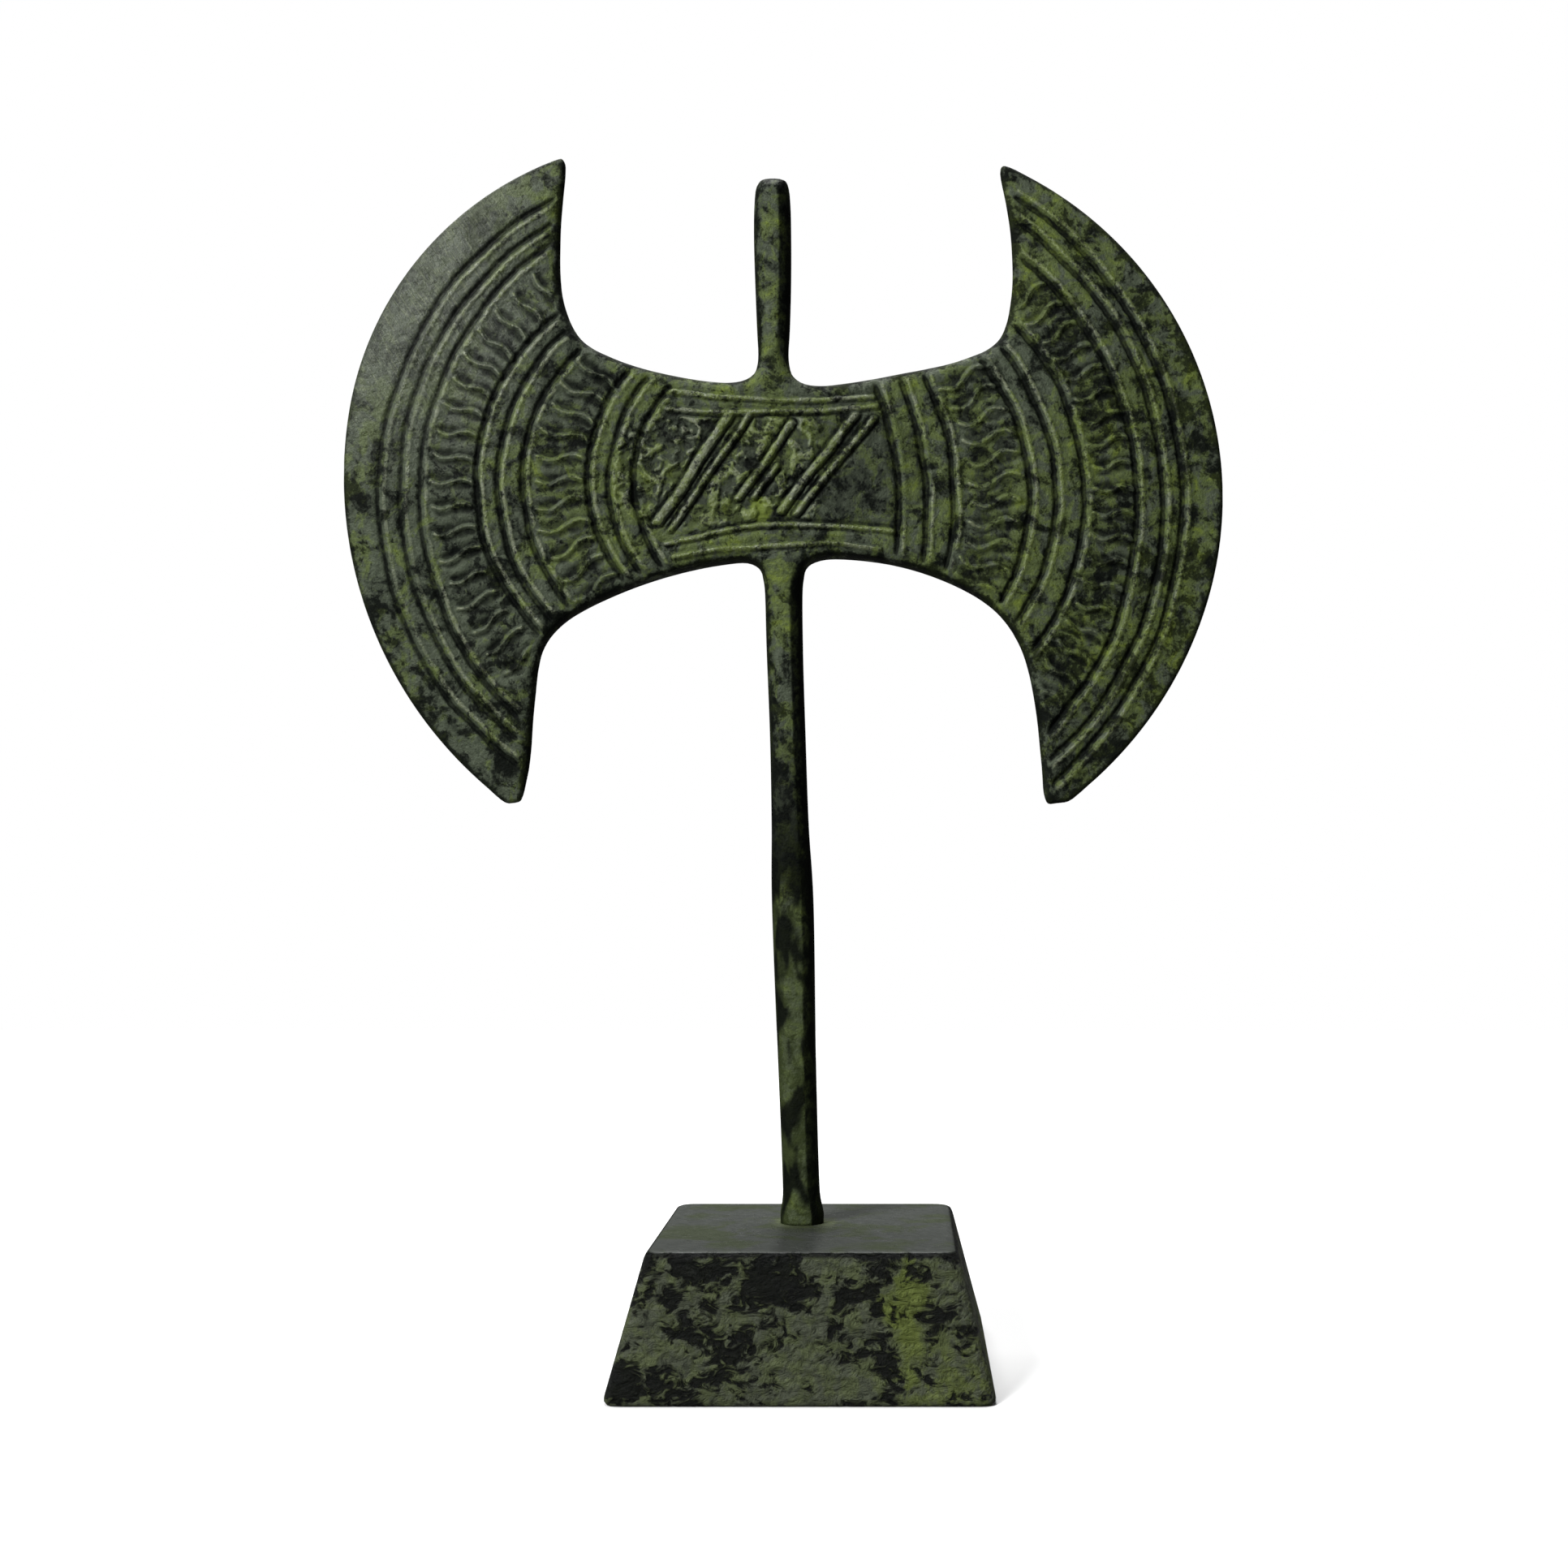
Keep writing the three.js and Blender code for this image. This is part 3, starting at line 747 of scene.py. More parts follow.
def axeTree():
    tree = bpy.data.node_groups.new("castAxe", "GeometryNodeTree")
    ports = tree.interface
    ports.new_socket("Sheet", in_out="INPUT", socket_type="NodeSocketGeometry")
    for name in ("Lines", "Lips", "Panel", "Panel Middle", "Bands", "Strokes", "Pockets"):
        ports.new_socket(name, in_out="INPUT", socket_type="NodeSocketObject")
    for name, value in axeSizes.items():
        kind = "NodeSocketInt" if name == "Levels" else "NodeSocketFloat"
        ports.new_socket(name, in_out="INPUT", socket_type=kind).default_value = value
    ports.new_socket("Material", in_out="INPUT", socket_type="NodeSocketMaterial")
    ports.new_socket("Axe", in_out="OUTPUT", socket_type="NodeSocketGeometry")
    given = node(tree, "NodeGroupInput").outputs

    def read(name):
        return node(tree, "GeometryNodeInputNamedAttribute", {"Name": name}, data_type="FLOAT").outputs[0]

    def guide(name):
        return node(tree, "GeometryNodeObjectInfo", {"Object": given[name]}).outputs["Geometry"]

    def roundOff(gap, radius):
        inside = minus(1.0, calc("MINIMUM", calc("DIVIDE", gap, radius), 1.0))
        return calc("SQRT", minus(1.0, times(inside, inside)))

    def falloff(gap, width, profile):
        reach, flat = profiles[profile]
        return ramp(calc("DIVIDE", gap, times(width, reach)), flat, 1.0, 1.0, 0.0)

    finer = node(tree, "GeometryNodeSubdivideMesh", {"Mesh": given["Sheet"], "Level": given["Levels"]})
    place = node(tree, "GeometryNodeInputPosition").outputs[0]
    across = node(tree, "ShaderNodeSeparateXYZ", {0: place}).outputs[0]
    edgeGap, rimGap, cutGap, rodShare = (read(n) for n in ("edgeGap", "rimGap", "cutGap", "rodShare"))

    # the blade is a lens: thin at its cutting edges, full at the haft, bevelled along its inner sides
    share = ramp(calc("DIVIDE", cutGap, given["Middle Depth"]), 0.0, 1.0, 0.0, 1.0, False)
    left = minus(1.0, share)
    rise = minus(1.0, times(left, left))
    swell = minus(given["Middle Half"], given["Edge Half"])
    lens = timesPlus(rise, swell, given["Edge Half"])
    inner = ramp(minus(cutGap, edgeGap), *reliefFades["innerSide"])
    alongBevel = calc("MINIMUM", calc("DIVIDE", edgeGap, given["Bevel Width"]), 1.0)
    slope = minus(1.0, alongBevel)
    slope = times(slope, slope)
    bevel = times(calc("MULTIPLY", slope, inner), given["Bevel Depth"])
    bladeHalf = minus(lens, bevel)

    # the rod is filed to eight soft flats
    flank = plus(given["Rod Flat"], edgeGap)
    rodHalf = calc("SMOOTH_MIN", given["Rod Half"], flank, given["Rod Softness"])
    half = timesPlus(minus(rodHalf, bladeHalf), rodShare, bladeHalf)

    # relief, as a height added to both faces
    wander = node(tree, "ShaderNodeTexNoise", {"Vector": place, "Scale": handMarks["wanderScale"],
                                               "Detail": 3.0, "Roughness": 0.6}).outputs["Color"]
    wander = vectorCalc("SUBTRACT", wander, (0.5, 0.5, 0.5))
    wander = vectorCalc("SCALE", wander)
    plug(wander.node.inputs["Scale"],
         times(given["Roughened"], handMarks["wanderSpread"]))
    flatPlace = vectorCalc("MULTIPLY", vectorCalc("ADD", place, wander), (1.0, 0.0, 1.0))
    lineGap = proximity(guide("Lines"), flatPlace)
    strokeGap = proximity(guide("Strokes"), flatPlace)
    bandGap = proximity(guide("Bands"), flatPlace)
    lipNear = proximity(guide("Lips"), flatPlace)
    pocketGap = proximity(guide("Pockets"), flatPlace)
    ribGap = proximity(guide("Panel"), flatPlace)
    panelGap = proximity(guide("Panel Middle"), flatPlace)
    groove = falloff(lineGap, given["Line Width"], "groove")
    shoulder = falloff(lineGap, given["Line Width"], "shoulder")
    stroke = falloff(strokeGap, given["Stroke Width"], "stroke")
    strokeFoot = falloff(strokeGap, given["Stroke Width"], "strokeFoot")
    rib = falloff(ribGap, given["Rib Width"], "rib")
    ribFoot = falloff(ribGap, given["Rib Width"], "ribFoot")
    lip = falloff(lipNear, given["Lip Width"], "lip")
    pocket = falloff(pocketGap, given["Pocket Width"], "pocket")
    bandFloor = ramp(bandGap, *reliefFades["band"], 1.0, 0.0)
    panelFloor = ramp(panelGap, *reliefFades["panel"], 1.0, 0.0)
    clear = ramp(edgeGap, *reliefFades["clearOfEdge"])
    uneven = minus(noiseAt(flatPlace, handMarks["unevenScale"], 3.0), 0.5)
    dints = minus(noiseAt(flatPlace, handMarks["dintScale"], 3.0, 0.6), 0.5)
    hand = timesPlus(uneven, given["Hand Unevenness"],
                times(dints, given["Dint Height"]))
    hand = times(hand, clear)

    # the carved lines and their lips
    sunk = timesPlus(groove, -1.0, times(shoulder, given["Line Shoulder"]))
    faint = ramp(across, *reliefFades["faintX"], given["Faint Line"], 1.0)
    lines = times(sunk, times(faint, given["Line Depth"]))
    lines = timesPlus(lip, times(faint, given["Lip Height"]), lines)

    # the bands with their strokes, and the panel's worked ground
    ground = ramp(noiseAt(flatPlace, handMarks["groundScale"], 2.0, 0.5, 1.4),
                  *handMarks["groundCut"])
    ground = times(ground, minus(1.0, ribFoot))
    plainEnd = ramp(across, *reliefFades["plainEndX"], 1.0, given["Plain End"])
    ground = times(ground, plainEnd)
    front = times(bandFloor, times(given["Band Depth"], -1.0))
    front = timesPlus(pocket, times(given["Pocket Depth"], -1.0), front)
    front = timesPlus(stroke, given["Stroke Height"], front)
    front = timesPlus(strokeFoot, given["Stroke Foot"], front)
    front = timesPlus(times(panelFloor, ground), given["Ground Marks"], front)

    # the panel's ribs and bars, which stand on its sunk ground
    beside = times(ribFoot, times(given["Rib Groove"], -1.0))
    dug = times(panelFloor, minus(1.0, rib))
    ribs = timesPlus(dug, given["Ground Level"], beside)
    ribs = timesPlus(rib, plus(given["Rib Height"], given["Rib Groove"]), ribs)
    both = plus(lines, ribs)

    def side(sign, relief):
        total = plus(times(relief, clear), hand)
        thick = times(plus(half, total), roundOff(rimGap, given["Rim Round"]))
        offset = node(tree, "ShaderNodeCombineXYZ", {"Y": times(thick, float(sign))})
        geometry = finer.outputs[0]
        if sign > 0:
            geometry = node(tree, "GeometryNodeFlipFaces", {"Mesh": geometry}).outputs[0]
        kept = node(tree, "GeometryNodeStoreNamedAttribute",
                    {"Geometry": geometry, "Name": "relief", "Value": total}, data_type="FLOAT")
        return node(tree, "GeometryNodeSetPosition",
                    {"Geometry": kept.outputs[0], "Offset": offset.outputs[0]}).outputs[0]

    joined = node(tree, "GeometryNodeJoinGeometry")
    tree.links.new(side(-1, plus(both, front)), joined.inputs[0])
    tree.links.new(side(1, timesPlus(front, given["Back Strokes"], both)), joined.inputs[0])
    welded = node(tree, "GeometryNodeMergeByDistance",
                  {"Geometry": joined.outputs[0], "Distance": given["Weld"]})
    moved = node(tree, "GeometryNodeTransform",
                 {"Geometry": welded.outputs[0], "Translation": (0.0, axeMiddleY * mm, 0.0),
                  "Scale": (mm, mm, mm)})
    smoothed = node(tree, "GeometryNodeSetShadeSmooth", {"Geometry": moved.outputs[0]})
    real = node(tree, "GeometryNodeRealizeInstances", {"Geometry": smoothed.outputs[0]})
    finish = node(tree, "GeometryNodeSetMaterial",
                  {"Geometry": real.outputs[0], "Material": given["Material"]})
    node(tree, "NodeGroupOutput", {"Axe": finish.outputs[0]})
    return tree


def addNodes(target, tree, values):
    modifier = target.modifiers.new(tree.name, "NODES")
    modifier.node_group = tree
    identifiers = {s.name: s.identifier for s in tree.interface.items_tree if s.in_out == "INPUT"}
    for name, value in values.items():
        modifier[identifiers[name]] = value
    return modifier


def baked(source, name):
    # the evaluated result as a plain mesh object of its own
    bpy.context.view_layer.update()
    graph = bpy.context.evaluated_depsgraph_get()
    mesh = bpy.data.meshes.new_from_object(source.evaluated_get(graph), depsgraph=graph)
    mesh.name = name
    result = bpy.data.objects.new(name, mesh)
    bpy.context.scene.collection.objects.link(result)
    return result


def removeObject(target):
    mesh = target.data
    bpy.data.objects.remove(target)
    bpy.data.meshes.remove(mesh)


def bandStrokes(tree, pockets):
    # every band's strokes, or their pockets, as one mesh of edges
    strokes = []
    for number, band in enumerate(strokeBands.values()):
        holder = guideObject("bandHolder", [bandPath(band)])
        addNodes(holder, tree, {"Count": band["count"], "Length": band["length"], "Wave": band["wave"],
                                "Seed": strokeShape["seed"] + number, "Pockets": pockets})
        made = baked(holder, "bandStrokes")
        points = [v.co for v in made.data.vertices]
        strokes.append(([(p.x, p.z) for p in points], [tuple(e.vertices) for e in made.data.edges]))
        removeObject(made)
        removeObject(holder)
    verts, edges = [], []
    for points, links in strokes:
        first = len(verts)
        verts += [(x, 0.0, z) for x, z in points]
        edges += [(first + a, first + b) for a, b in links]
    mesh = bpy.data.meshes.new("strokeGuides")
    mesh.from_pydata(verts, edges, [])
    guide = bpy.data.objects.new("strokeGuides", mesh)
    bpy.context.scene.collection.objects.link(guide)
    return guide


def thinTo(target, limit):
    triangles = sum(len(p.vertices) - 2 for p in target.data.polygons)
    if triangles <= limit:
        return target
    modifier = target.modifiers.new("thin", "DECIMATE")
    modifier.ratio = limit / triangles
    thinned = baked(target, target.name)
    name = target.name
    removeObject(target)
    thinned.name = name
    thinned.data.name = name
    return thinned


def makeAxe(material):
    sheet = makeSheet(outline)
    print(f"sheet of {len(sheet.data.polygons)} triangles")
    grooves = linePaths()
    strokes = strokeTree()
    guides = {
        "Lines": guideObject("lineGuides", grooves),
        "Lips": guideObject("lipGuides", [lipPath(path) for path in grooves]),
        "Panel": panelGuides(),
        "Panel Middle": guideObject("panelMiddle", [panelSizes["middle"]]),
        "Bands": guideObject("bandMiddles", [bandPath(b) for b in strokeBands.values()]),
        "Strokes": bandStrokes(strokes, False),
        "Pockets": bandStrokes(strokes, True),
    }
    addNodes(sheet, axeTree(), {**guides, **axeSizes, "Material": material})
    axe = baked(sheet, "double_axe_cast")
    print(f"axe of {len(axe.data.polygons)} faces")
    removeObject(sheet)
    for guide in guides.values():
        removeObject(guide)
    axe = thinTo(axe, sheetSizes["triangles"])
    print(f"axe thinned to {len(axe.data.polygons)} faces")
    return axe


# materials

def startMaterial(name):
    material = bpy.data.materials.new(name)
    material.use_nodes = True
    tree = material.node_tree
    shader = tree.nodes["Principled BSDF"]
    coords = node(tree, "ShaderNodeTexCoord").outputs["Object"]
    place = vectorCalc("SCALE", coords)
    place.node.inputs["Scale"].default_value = 1 / mm  # patterns are sized per mm
    return material, tree, shader, place


def split(vector):
    return node(vector.id_data, "ShaderNodeSeparateXYZ", {0: vector}).outputs


def facing(tree):
    return split(node(tree, "ShaderNodeNewGeometry").outputs["Normal"])


def stored(tree, name):
    return node(tree, "ShaderNodeAttribute", attribute_name=name).outputs["Fac"]


def stretched(place, weights):
    return vectorCalc("MULTIPLY", place, weights)


def gapTo(place, spot, weights):
    # how far a point is from a spot, with each axis weighted: 0 leaves it out
    away = stretched(vectorCalc("SUBTRACT", place, spot), weights)
    return node(place.id_data, "ShaderNodeVectorMath", {0: away}, operation="LENGTH").outputs["Value"]


def addBumps(shader, heights, paint):
    bump = node(heights.id_data, "ShaderNodeBump", {"Height": heights})
    bump.inputs["Strength"].default_value = paint["bumpStrength"]
    bump.inputs["Distance"].default_value = paint["bumpHeight"] * mm
    plug(shader.inputs["Normal"], bump.outputs[0])


axePatina = {
    "black": (0.0014, 0.0022, 0.0017, 1),
    "deepGreen": (0.014, 0.019, 0.011, 1),
    "greyGreen": (0.066, 0.081, 0.052, 1),
    "olive": (0.088, 0.116, 0.037, 1),
    "yellowGreen": (0.128, 0.170, 0.028, 1),
    "rubbed": (0.172, 0.196, 0.108, 1),
    "glint": (0.34, 0.37, 0.28, 1),  # painted glints: pale specks of highlight on the ridges
    "cloudScale": 0.045,  # this and the next ones are per mm
    "blotchScale": 0.26,
    "patchScale": 0.34,
    "speckScale": 1.3,
    "glintScale": 1.9,
    "pitScale": 0.8,
    "grainScale": 2.6,
    "patchAside": (37.0, 5.0, 11.0),  # moves the patches off the blotches
    "oliveShares": (0.73, 0.85),  # how green a place is where olive begins, and where it is full
    "yellowShares": (0.87, 1.0),
    "smoothedAndSheenX": (-38.0, -62.0),  # mm: the upper left is worn smooth past these, and there its colour is lightened as a painted sheen
    "smoothedAndSheenZ": (136.0, 176.0),
    "scratchTurn": 0.6,  # radians
    "scratches": (3.4, 1.0, 0.3),  # how close they lie along each axis
    "panelX": -6.0,  # mm: the panel has most of the glints
    "panelReach": (18.0, 24.0),
    "rightX": (36.0, 62.0),  # mm: darker to the right of this, and lower down
    "lowZ": (135.0, 105.0),
    "rimReach": (0.3, 1.3),  # mm from the outline that is dark
    "rodX": -3.0,  # mm: the middle of the haft and stub
    "rodReach": (9.0, 12.0),
    "haftBegins": (133.0, 128.0),
    "haftDarkens": (112.0, 78.0),  # mm: it turns nearly black between these
    "haftPatches": (80.0, 54.0),  # and has more and more green patches between these
    "haftCalms": (84.0, 62.0),
    "stubBegins": (164.0, 172.0),
    "stain": (-8.2, 0.0, 139.6),  # mm: a yellow-green lump on the panel
    "stainReach": 2.6,
    "metallic": 0.12,
    "bumpStrength": 0.8,
    "bumpHeight": 0.2,  # mm
}


def haftShade(tree, place, xyz, patch):
    # how calm the green is along the haft, how black its patina turns, and painted shade darkening the
    # right-facing sides of the haft and the stub
    paint = axePatina
    offLine = calc("ABSOLUTE", minus(xyz[0], paint["rodX"]))
    nearRod = ramp(offLine, *paint["rodReach"], 1.0, 0.0)
    onHaft = times(nearRod, ramp(xyz[2], *paint["haftBegins"]))
    runs = noiseAt(stretched(place, (1.0, 1.0, 0.45)), 0.22, 2.5, 0.5, 0.3)
    runs = plus(runs, ramp(xyz[2], *paint["haftPatches"], -0.075, 0.05))
    calm = times(onHaft, ramp(xyz[2], *paint["haftCalms"], 0.0, 0.4))
    low = ramp(xyz[2], *paint["haftDarkens"])
    low = times(low, ramp(runs, 0.45, 0.58, 0.95, 0.2))
    # painted shade: faces turned to the right are darkened as if away from a light on the left
    paintedShadeRight = ramp(facing(tree)["X"], 0.1, 0.6)
    paintedShadeRight = times(paintedShadeRight, ramp(patch, 0.4, 0.62, 0.95, 0.7))
    stubPaintedShade = ramp(xyz[2], *paint["stubBegins"])
    stubPaintedShade = times(stubPaintedShade, ramp(paintedShadeRight, 0.0, 1.0, 0.0, 0.8))
    blackPatinaAndShade = times(onHaft, calc("MAXIMUM", low, paintedShadeRight))
    return calm, calc("MAXIMUM", blackPatinaAndShade, times(stubPaintedShade, nearRod))


def patinaBronze():
    material, tree, shader, place = startMaterial("patinatedBronze")
    paint = axePatina
    relief = stored(tree, "relief")
    xyz = split(place)
    cloud = noiseAt(place, paint["cloudScale"], 3.0, 0.5, 0.2)
    blotch = noiseAt(place, paint["blotchScale"], 6.0, 0.68, 0.5)
    aside = vectorCalc("ADD", place, paint["patchAside"])
    patch = noiseAt(aside, paint["patchScale"], 6.0, 0.64, 0.6)
    speck = noiseAt(place, paint["speckScale"], 4.0, 0.7)
    # the upper left is worn smooth and shines, with fine scratches; its colour is also greyed and lightened
    # there as a painted sheen
    smoothedAndSheen = times(ramp(xyz[0], *paint["smoothedAndSheenX"]), ramp(xyz[2], *paint["smoothedAndSheenZ"]))
    turned = node(tree, "ShaderNodeVectorRotate", {"Vector": place, "Angle": paint["scratchTurn"]},
                  rotation_type="Y_AXIS")
    scratch = noiseAt(stretched(turned.outputs[0], paint["scratches"]), 1.0, 3.0, 0.6)
    # grey-green, olive and yellow-green patches
    colour = mixColour(ramp(blotch, 0.38, 0.58), paint["deepGreen"], paint["greyGreen"])
    # painted sheen: the smooth upper left is greyed in colour, with less olive and yellow-green below
    colour = mixColour(ramp(smoothedAndSheen, 0.0, 1.0, 0.0, 0.5), colour, paint["greyGreen"])
    greenness = timesPlus(cloud, 0.55, patch)
    greenness = plus(greenness, ramp(xyz[0], -80.0, 70.0, -0.04, 0.04, False))
    offSheen = ramp(smoothedAndSheen, 0.0, 1.0, 1.0, 0.3)
    oliveShare = times(ramp(greenness, *paint["oliveShares"]), offSheen)
    colour = mixColour(oliveShare, colour, paint["olive"])
    offSheen = ramp(smoothedAndSheen, 0.0, 0.5, 1.0, 0.0)
    yellow = times(ramp(greenness, *paint["yellowShares"]), offSheen)
    colour = mixColour(yellow, colour, paint["yellowGreen"])
    # what is raised is rubbed, with painted glints of highlight
    raised = ramp(relief, 0.05, 0.22)
    rubbed = times(raised, ramp(speck, 0.35, 0.6, 0.1, 0.85))
    rubTint = ramp(greenness, 0.64, 0.82)
    rubTint = mixColour(rubTint, paint["rubbed"], paint["yellowGreen"])
    colour = mixColour(rubbed, colour, rubTint)
    scraped = times(smoothedAndSheen, ramp(scratch, 0.5, 0.66, 0.0, 0.5))
    colour = mixColour(scraped, colour, paint["rubbed"])
    inPanel = calc("ABSOLUTE", minus(xyz[0], paint["panelX"]))
    inPanel = ramp(inPanel, *paint["panelReach"], 0.55, 0.3)
    # painted highlight: pale glint specks on raised places, most of them in the panel
    paintedGlint = ramp(noiseAt(place, paint["glintScale"], 3.0, 0.7), 0.56, 0.66)
    paintedGlint = times(times(paintedGlint, inPanel), ramp(relief, 0.12, 0.3))
    colour = mixColour(paintedGlint, colour, paint["glint"])
    # what is sunk is black, and so are the rim and many mottles, most of all to the right and low down
    sunk = ramp(timesPlus(speck, 0.24, relief), 0.04, -0.24)
    sunk = times(sunk, ramp(patch, 0.35, 0.65, 0.95, 0.65))
    colour = mixColour(ramp(speck, 0.42, 0.7, 0.0, 0.5), colour, paint["deepGreen"])
    colour = mixColour(sunk, colour, paint["black"])
    dark = minus(blotch, ramp(xyz[0], *paint["rightX"], 0.0, 0.05))
    dark = minus(dark, ramp(xyz[2], *paint["lowZ"], 0.0, 0.04))
    dark = minus(dark, ramp(stored(tree, "rimGap"), *paint["rimReach"], 0.16, 0.0))
    dark = timesPlus(speck, 0.6, dark)
    # painted sheen: fewer black mottles on the smooth upper left
    dark = times(ramp(dark, 0.82, 0.66), ramp(smoothedAndSheen, 0.0, 1.0, 0.84, 0.42))
    colour = mixColour(dark, colour, paint["black"])
    calm, blackPatinaAndShade = haftShade(tree, place, xyz, patch)
    colour = mixColour(calm, colour, paint["olive"])
    # black patina on the haft, with painted shade on the right sides of the haft and the stub
    colour = mixColour(blackPatinaAndShade, colour, paint["black"])
    stainGap = timesPlus(speck, 2.0, gapTo(place, paint["stain"], (1.0, 0.0, 1.0)))
    stain = ramp(stainGap, paint["stainReach"] * 0.9, paint["stainReach"] * 1.3, 0.85, 0.0)
    colour = mixColour(stain, colour, paint["yellowGreen"])
    plug(shader.inputs["Base Color"], colour)
    # raised and polished places shine, dark ones are dull
    darkness = calc("MAXIMUM", calc("MAXIMUM", sunk, dark), blackPatinaAndShade)
    gloss = timesPlus(raised, -0.16, ramp(speck, 0.3, 0.7, 0.46, 0.62))
    gloss = timesPlus(darkness, 0.14, gloss)
    scratched = times(smoothedAndSheen, scratch)
    plug(shader.inputs["Roughness"], timesPlus(scratched, -0.22, gloss))
    shine = timesPlus(smoothedAndSheen, 0.4, timesPlus(raised, 0.3, 0.16))
    shine = times(shine, ramp(darkness, 0.0, 1.0, 1.0, 0.35))
    plug(shader.inputs["Specular IOR Level"], shine)
    shader.inputs["Metallic"].default_value = paint["metallic"]
    grain = noiseAt(place, paint["grainScale"], 4.0, 0.65)
    pits = noiseAt(place, paint["pitScale"], 3.0, 0.55)
    heights = timesPlus(scratched, 1.2, timesPlus(pits, 1.6, grain))
    addBumps(shader, heights, paint)
    return material


basePatina = {
    "black": (0.0014, 0.0021, 0.0020, 1),
    "greyGreen": (0.070, 0.080, 0.053, 1),
    "olive": (0.088, 0.106, 0.049, 1),
    "yellowGreen": (0.120, 0.154, 0.030, 1),
    # the top's grey, partly a painted sheen
    "topGreyAndSheen": (0.060, 0.065, 0.059, 1),
    "topGreen": (0.050, 0.060, 0.036, 1),
    "marbleScale": 0.13,  # this and the next ones are per mm
    "flameScale": 0.46,
    "mottleScale": 0.4,
    "speckScale": 0.9,
    "warpScale": 0.09,
    "cloudScale": 0.11,
    "streakX": 16.0,  # mm: a yellow-green run down the front
    "streakHalf": 2.8,
    "yellowX": (8.0, 20.0),  # mm: the lower right turns yellow-green past these
    "yellowZ": (13.0, 5.0),
    "blot": (-24.0, 0.0, 3.5),  # mm: a black blot low on the front
    "blotReach": 8.0,
    "footRing": 7.0,  # mm that the green around the haft's foot reaches
    "paintedReflectionHalf": 4.5,  # mm: a dark painted reflection of the haft runs forwards from its foot
    "topFaces": (0.75, 0.95),  # how far upwards a face looks before it has the top's colours
    "metallic": 0.1,
    "bumpStrength": 0.9,
    "bumpHeight": 0.9,  # mm
    "topBumps": 0.03,  # the share of the bumps that the top has
}


def topColours(place, xyz, mottle):
    # clouded grey, partly a painted sheen; green around the haft's foot; and before it a dark painted
    # reflection of the haft
    paint = basePatina
    cloud = noiseAt(place, paint["cloudScale"], 4.0, 0.6, 0.5)
    colour = mixColour(ramp(cloud, 0.45, 0.62), paint["topGreyAndSheen"], paint["topGreen"])
    ringGap = gapTo(place, (footX, axeMiddleY, 0.0), (1.0, 1.0, 0.0))
    ringGap = timesPlus(minus(mottle, 0.5), 9.0, ringGap)
    colour = mixColour(ramp(ringGap, 3.2, paint["footRing"], 0.8, 0.0), colour, paint["olive"])
    aside = calc("ABSOLUTE", minus(xyz[0], footX))
    # painted reflection: the haft mirrored darkly in the top
    paintedReflection = times(ramp(aside, 1.5, paint["paintedReflectionHalf"], 0.45, 0.0),
                  ramp(minus(xyz[1], axeMiddleY), 0.0, -6.0))
    return mixColour(paintedReflection, colour, paint["black"])


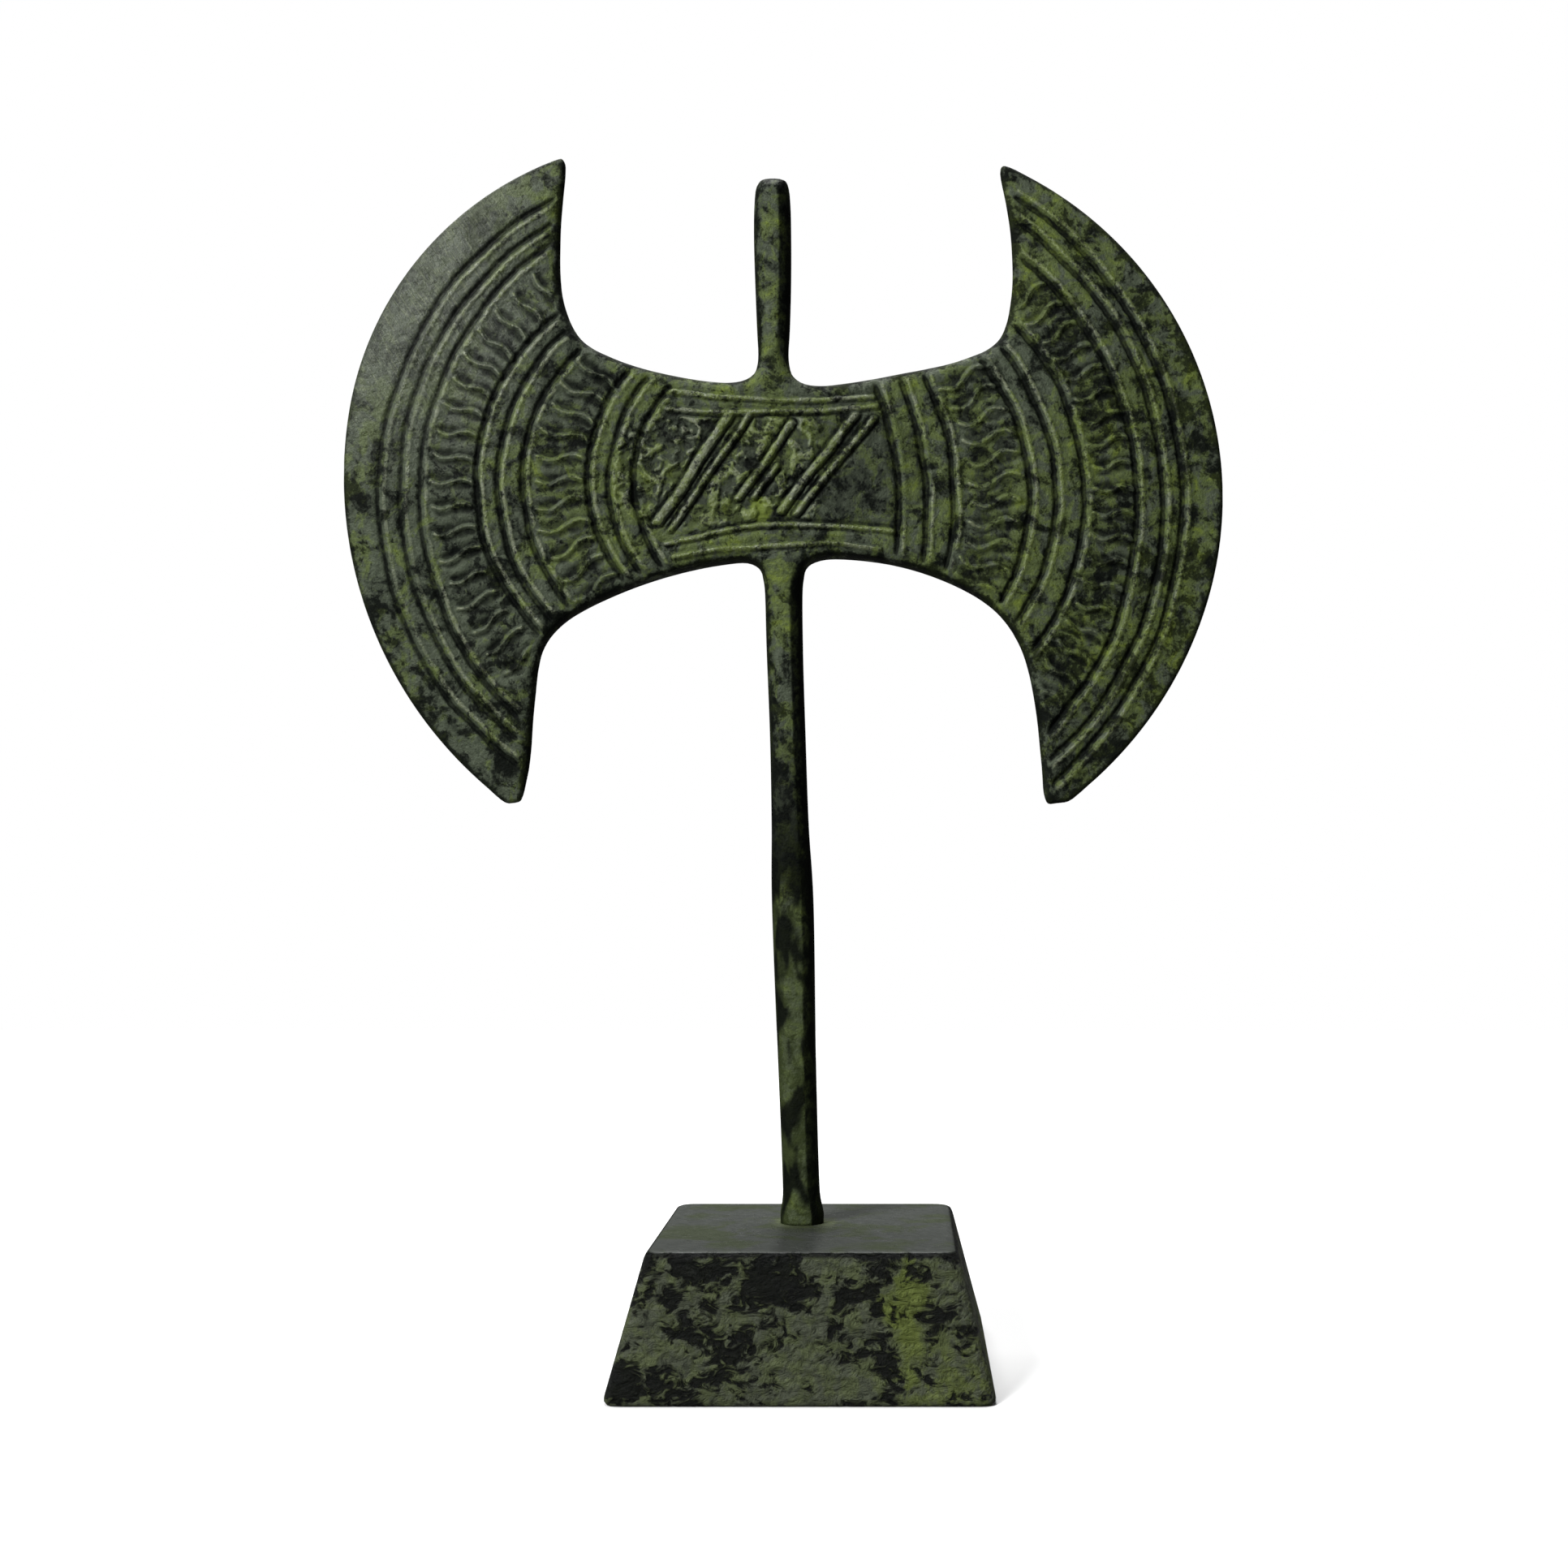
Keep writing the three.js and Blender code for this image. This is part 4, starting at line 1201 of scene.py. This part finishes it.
def baseBronze():
    material, tree, shader, place = startMaterial("baseBronze")
    paint = basePatina
    xyz = split(place)
    warp = noiseAt(place, paint["warpScale"], 3.0, 0.5)
    marble = noiseAt(stretched(place, (0.9, 0.9, 1.1)), paint["marbleScale"], 3.0, 0.55, 0.7)
    flames = noiseAt(stretched(place, (0.8, 0.8, 1.25)), paint["flameScale"], 6.0, 0.62, 1.2)
    speck = noiseAt(place, paint["speckScale"], 4.0, 0.65)
    mottle = noiseAt(place, paint["mottleScale"], 5.0, 0.62)
    colour = mixColour(ramp(mottle, 0.40, 0.6), paint["greyGreen"], paint["olive"])
    # the yellow-green streak and corner
    streakGap = calc("ABSOLUTE", minus(xyz[0], paint["streakX"]))
    streakGap = timesPlus(minus(warp, 0.5), 16.0, streakGap)
    streakGap = timesPlus(minus(mottle, 0.5), 8.0, streakGap)
    streak = ramp(streakGap, 0.3 * paint["streakHalf"], paint["streakHalf"], 0.8, 0.0)
    lowRight = times(ramp(xyz[0], *paint["yellowX"]), ramp(xyz[2], *paint["yellowZ"]))
    lowRight = times(lowRight, ramp(mottle, 0.4, 0.6, 0.05, 0.5))
    yellow = calc("MAXIMUM", lowRight, streak)
    colour = mixColour(yellow, colour, paint["yellowGreen"])
    # black marbling, with the blot
    darkness = timesPlus(minus(flames, 0.5), 0.85, marble)
    darkness = plus(darkness, 0.31)
    darkness = minus(darkness, ramp(xyz[2], 8.0, 21.0, -0.02, 0.075))
    darkness = timesPlus(yellow, 0.1, darkness)
    blotGap = gapTo(place, paint["blot"], (1.0, 0.0, 2.0))
    darkness = minus(darkness, ramp(blotGap, 3.0, paint["blotReach"], 0.2, 0.0))
    dark = ramp(darkness, 0.80, 0.71, 0.0, 0.96)
    colour = mixColour(dark, colour, paint["black"])
    colour = mixColour(ramp(speck, 0.45, 0.72, 0.0, 0.35), colour, paint["black"])
    # the top, and the dark edge around it
    up = facing(tree)["Z"]
    topShare = ramp(up, *paint["topFaces"])
    colour = mixColour(topShare, colour, topColours(place, xyz, mottle))
    # darker band on the faces between the top and the sides
    topEdgeDark = times(ramp(up, 0.34, 0.5), ramp(up, 0.97, 0.88))
    colour = mixColour(times(topEdgeDark, 0.9), colour, paint["black"])
    plug(shader.inputs["Base Color"], colour)
    rough = timesPlus(topShare, -0.12, ramp(speck, 0.3, 0.7, 0.44, 0.6))
    plug(shader.inputs["Roughness"], rough)
    shader.inputs["Metallic"].default_value = paint["metallic"]
    plug(shader.inputs["Specular IOR Level"], ramp(topShare, 0.0, 1.0, 0.16, 0.22))
    bumps = timesPlus(dark, -1.9, timesPlus(flames, 2.6, speck))
    bumps = times(bumps, ramp(topShare, 0.0, 1.0, 1.0, paint["topBumps"], False))
    addBumps(shader, bumps, paint)
    return material


# the base: the CAD block, merged, with its edges softened

baseSizes = {
    "merge": 0.001,  # mm: corners nearer than this are one
    "flat": 1.5,  # degrees: faces flatter than this are joined first
    "voxel": 0.55,  # mm
    "softening": 0.5,
    "passes": 1,
}


def softBox(material):
    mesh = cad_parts["base"].data.copy()
    shape = bmesh.new()
    shape.from_mesh(mesh)
    bmesh.ops.remove_doubles(shape, verts=shape.verts, dist=baseSizes["merge"] * mm)
    bmesh.ops.dissolve_limit(shape, angle_limit=math.radians(baseSizes["flat"]),
                             verts=shape.verts, edges=shape.edges)
    shape.to_mesh(mesh)
    shape.free()
    block = bpy.data.objects.new("base_shape", mesh)
    mesh.materials.clear()
    mesh.materials.append(material)
    bpy.context.scene.collection.objects.link(block)
    remesh = block.modifiers.new("even", "REMESH")
    remesh.mode = "VOXEL"
    remesh.voxel_size = baseSizes["voxel"] * mm
    remesh.use_smooth_shade = True
    soft = block.modifiers.new("soft", "SMOOTH")
    soft.factor = baseSizes["softening"]
    soft.iterations = baseSizes["passes"]
    made = baked(block, "base_cast")
    removeObject(block)
    for vert in made.data.vertices:
        vert.co.z = max(vert.co.z, baseLow.z)
    return made


axe = makeAxe(patinaBronze())
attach(axe, "root")
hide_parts("double_axe")
base = softBox(baseBronze())
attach(base, "root")
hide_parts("base")
print("pieces made")
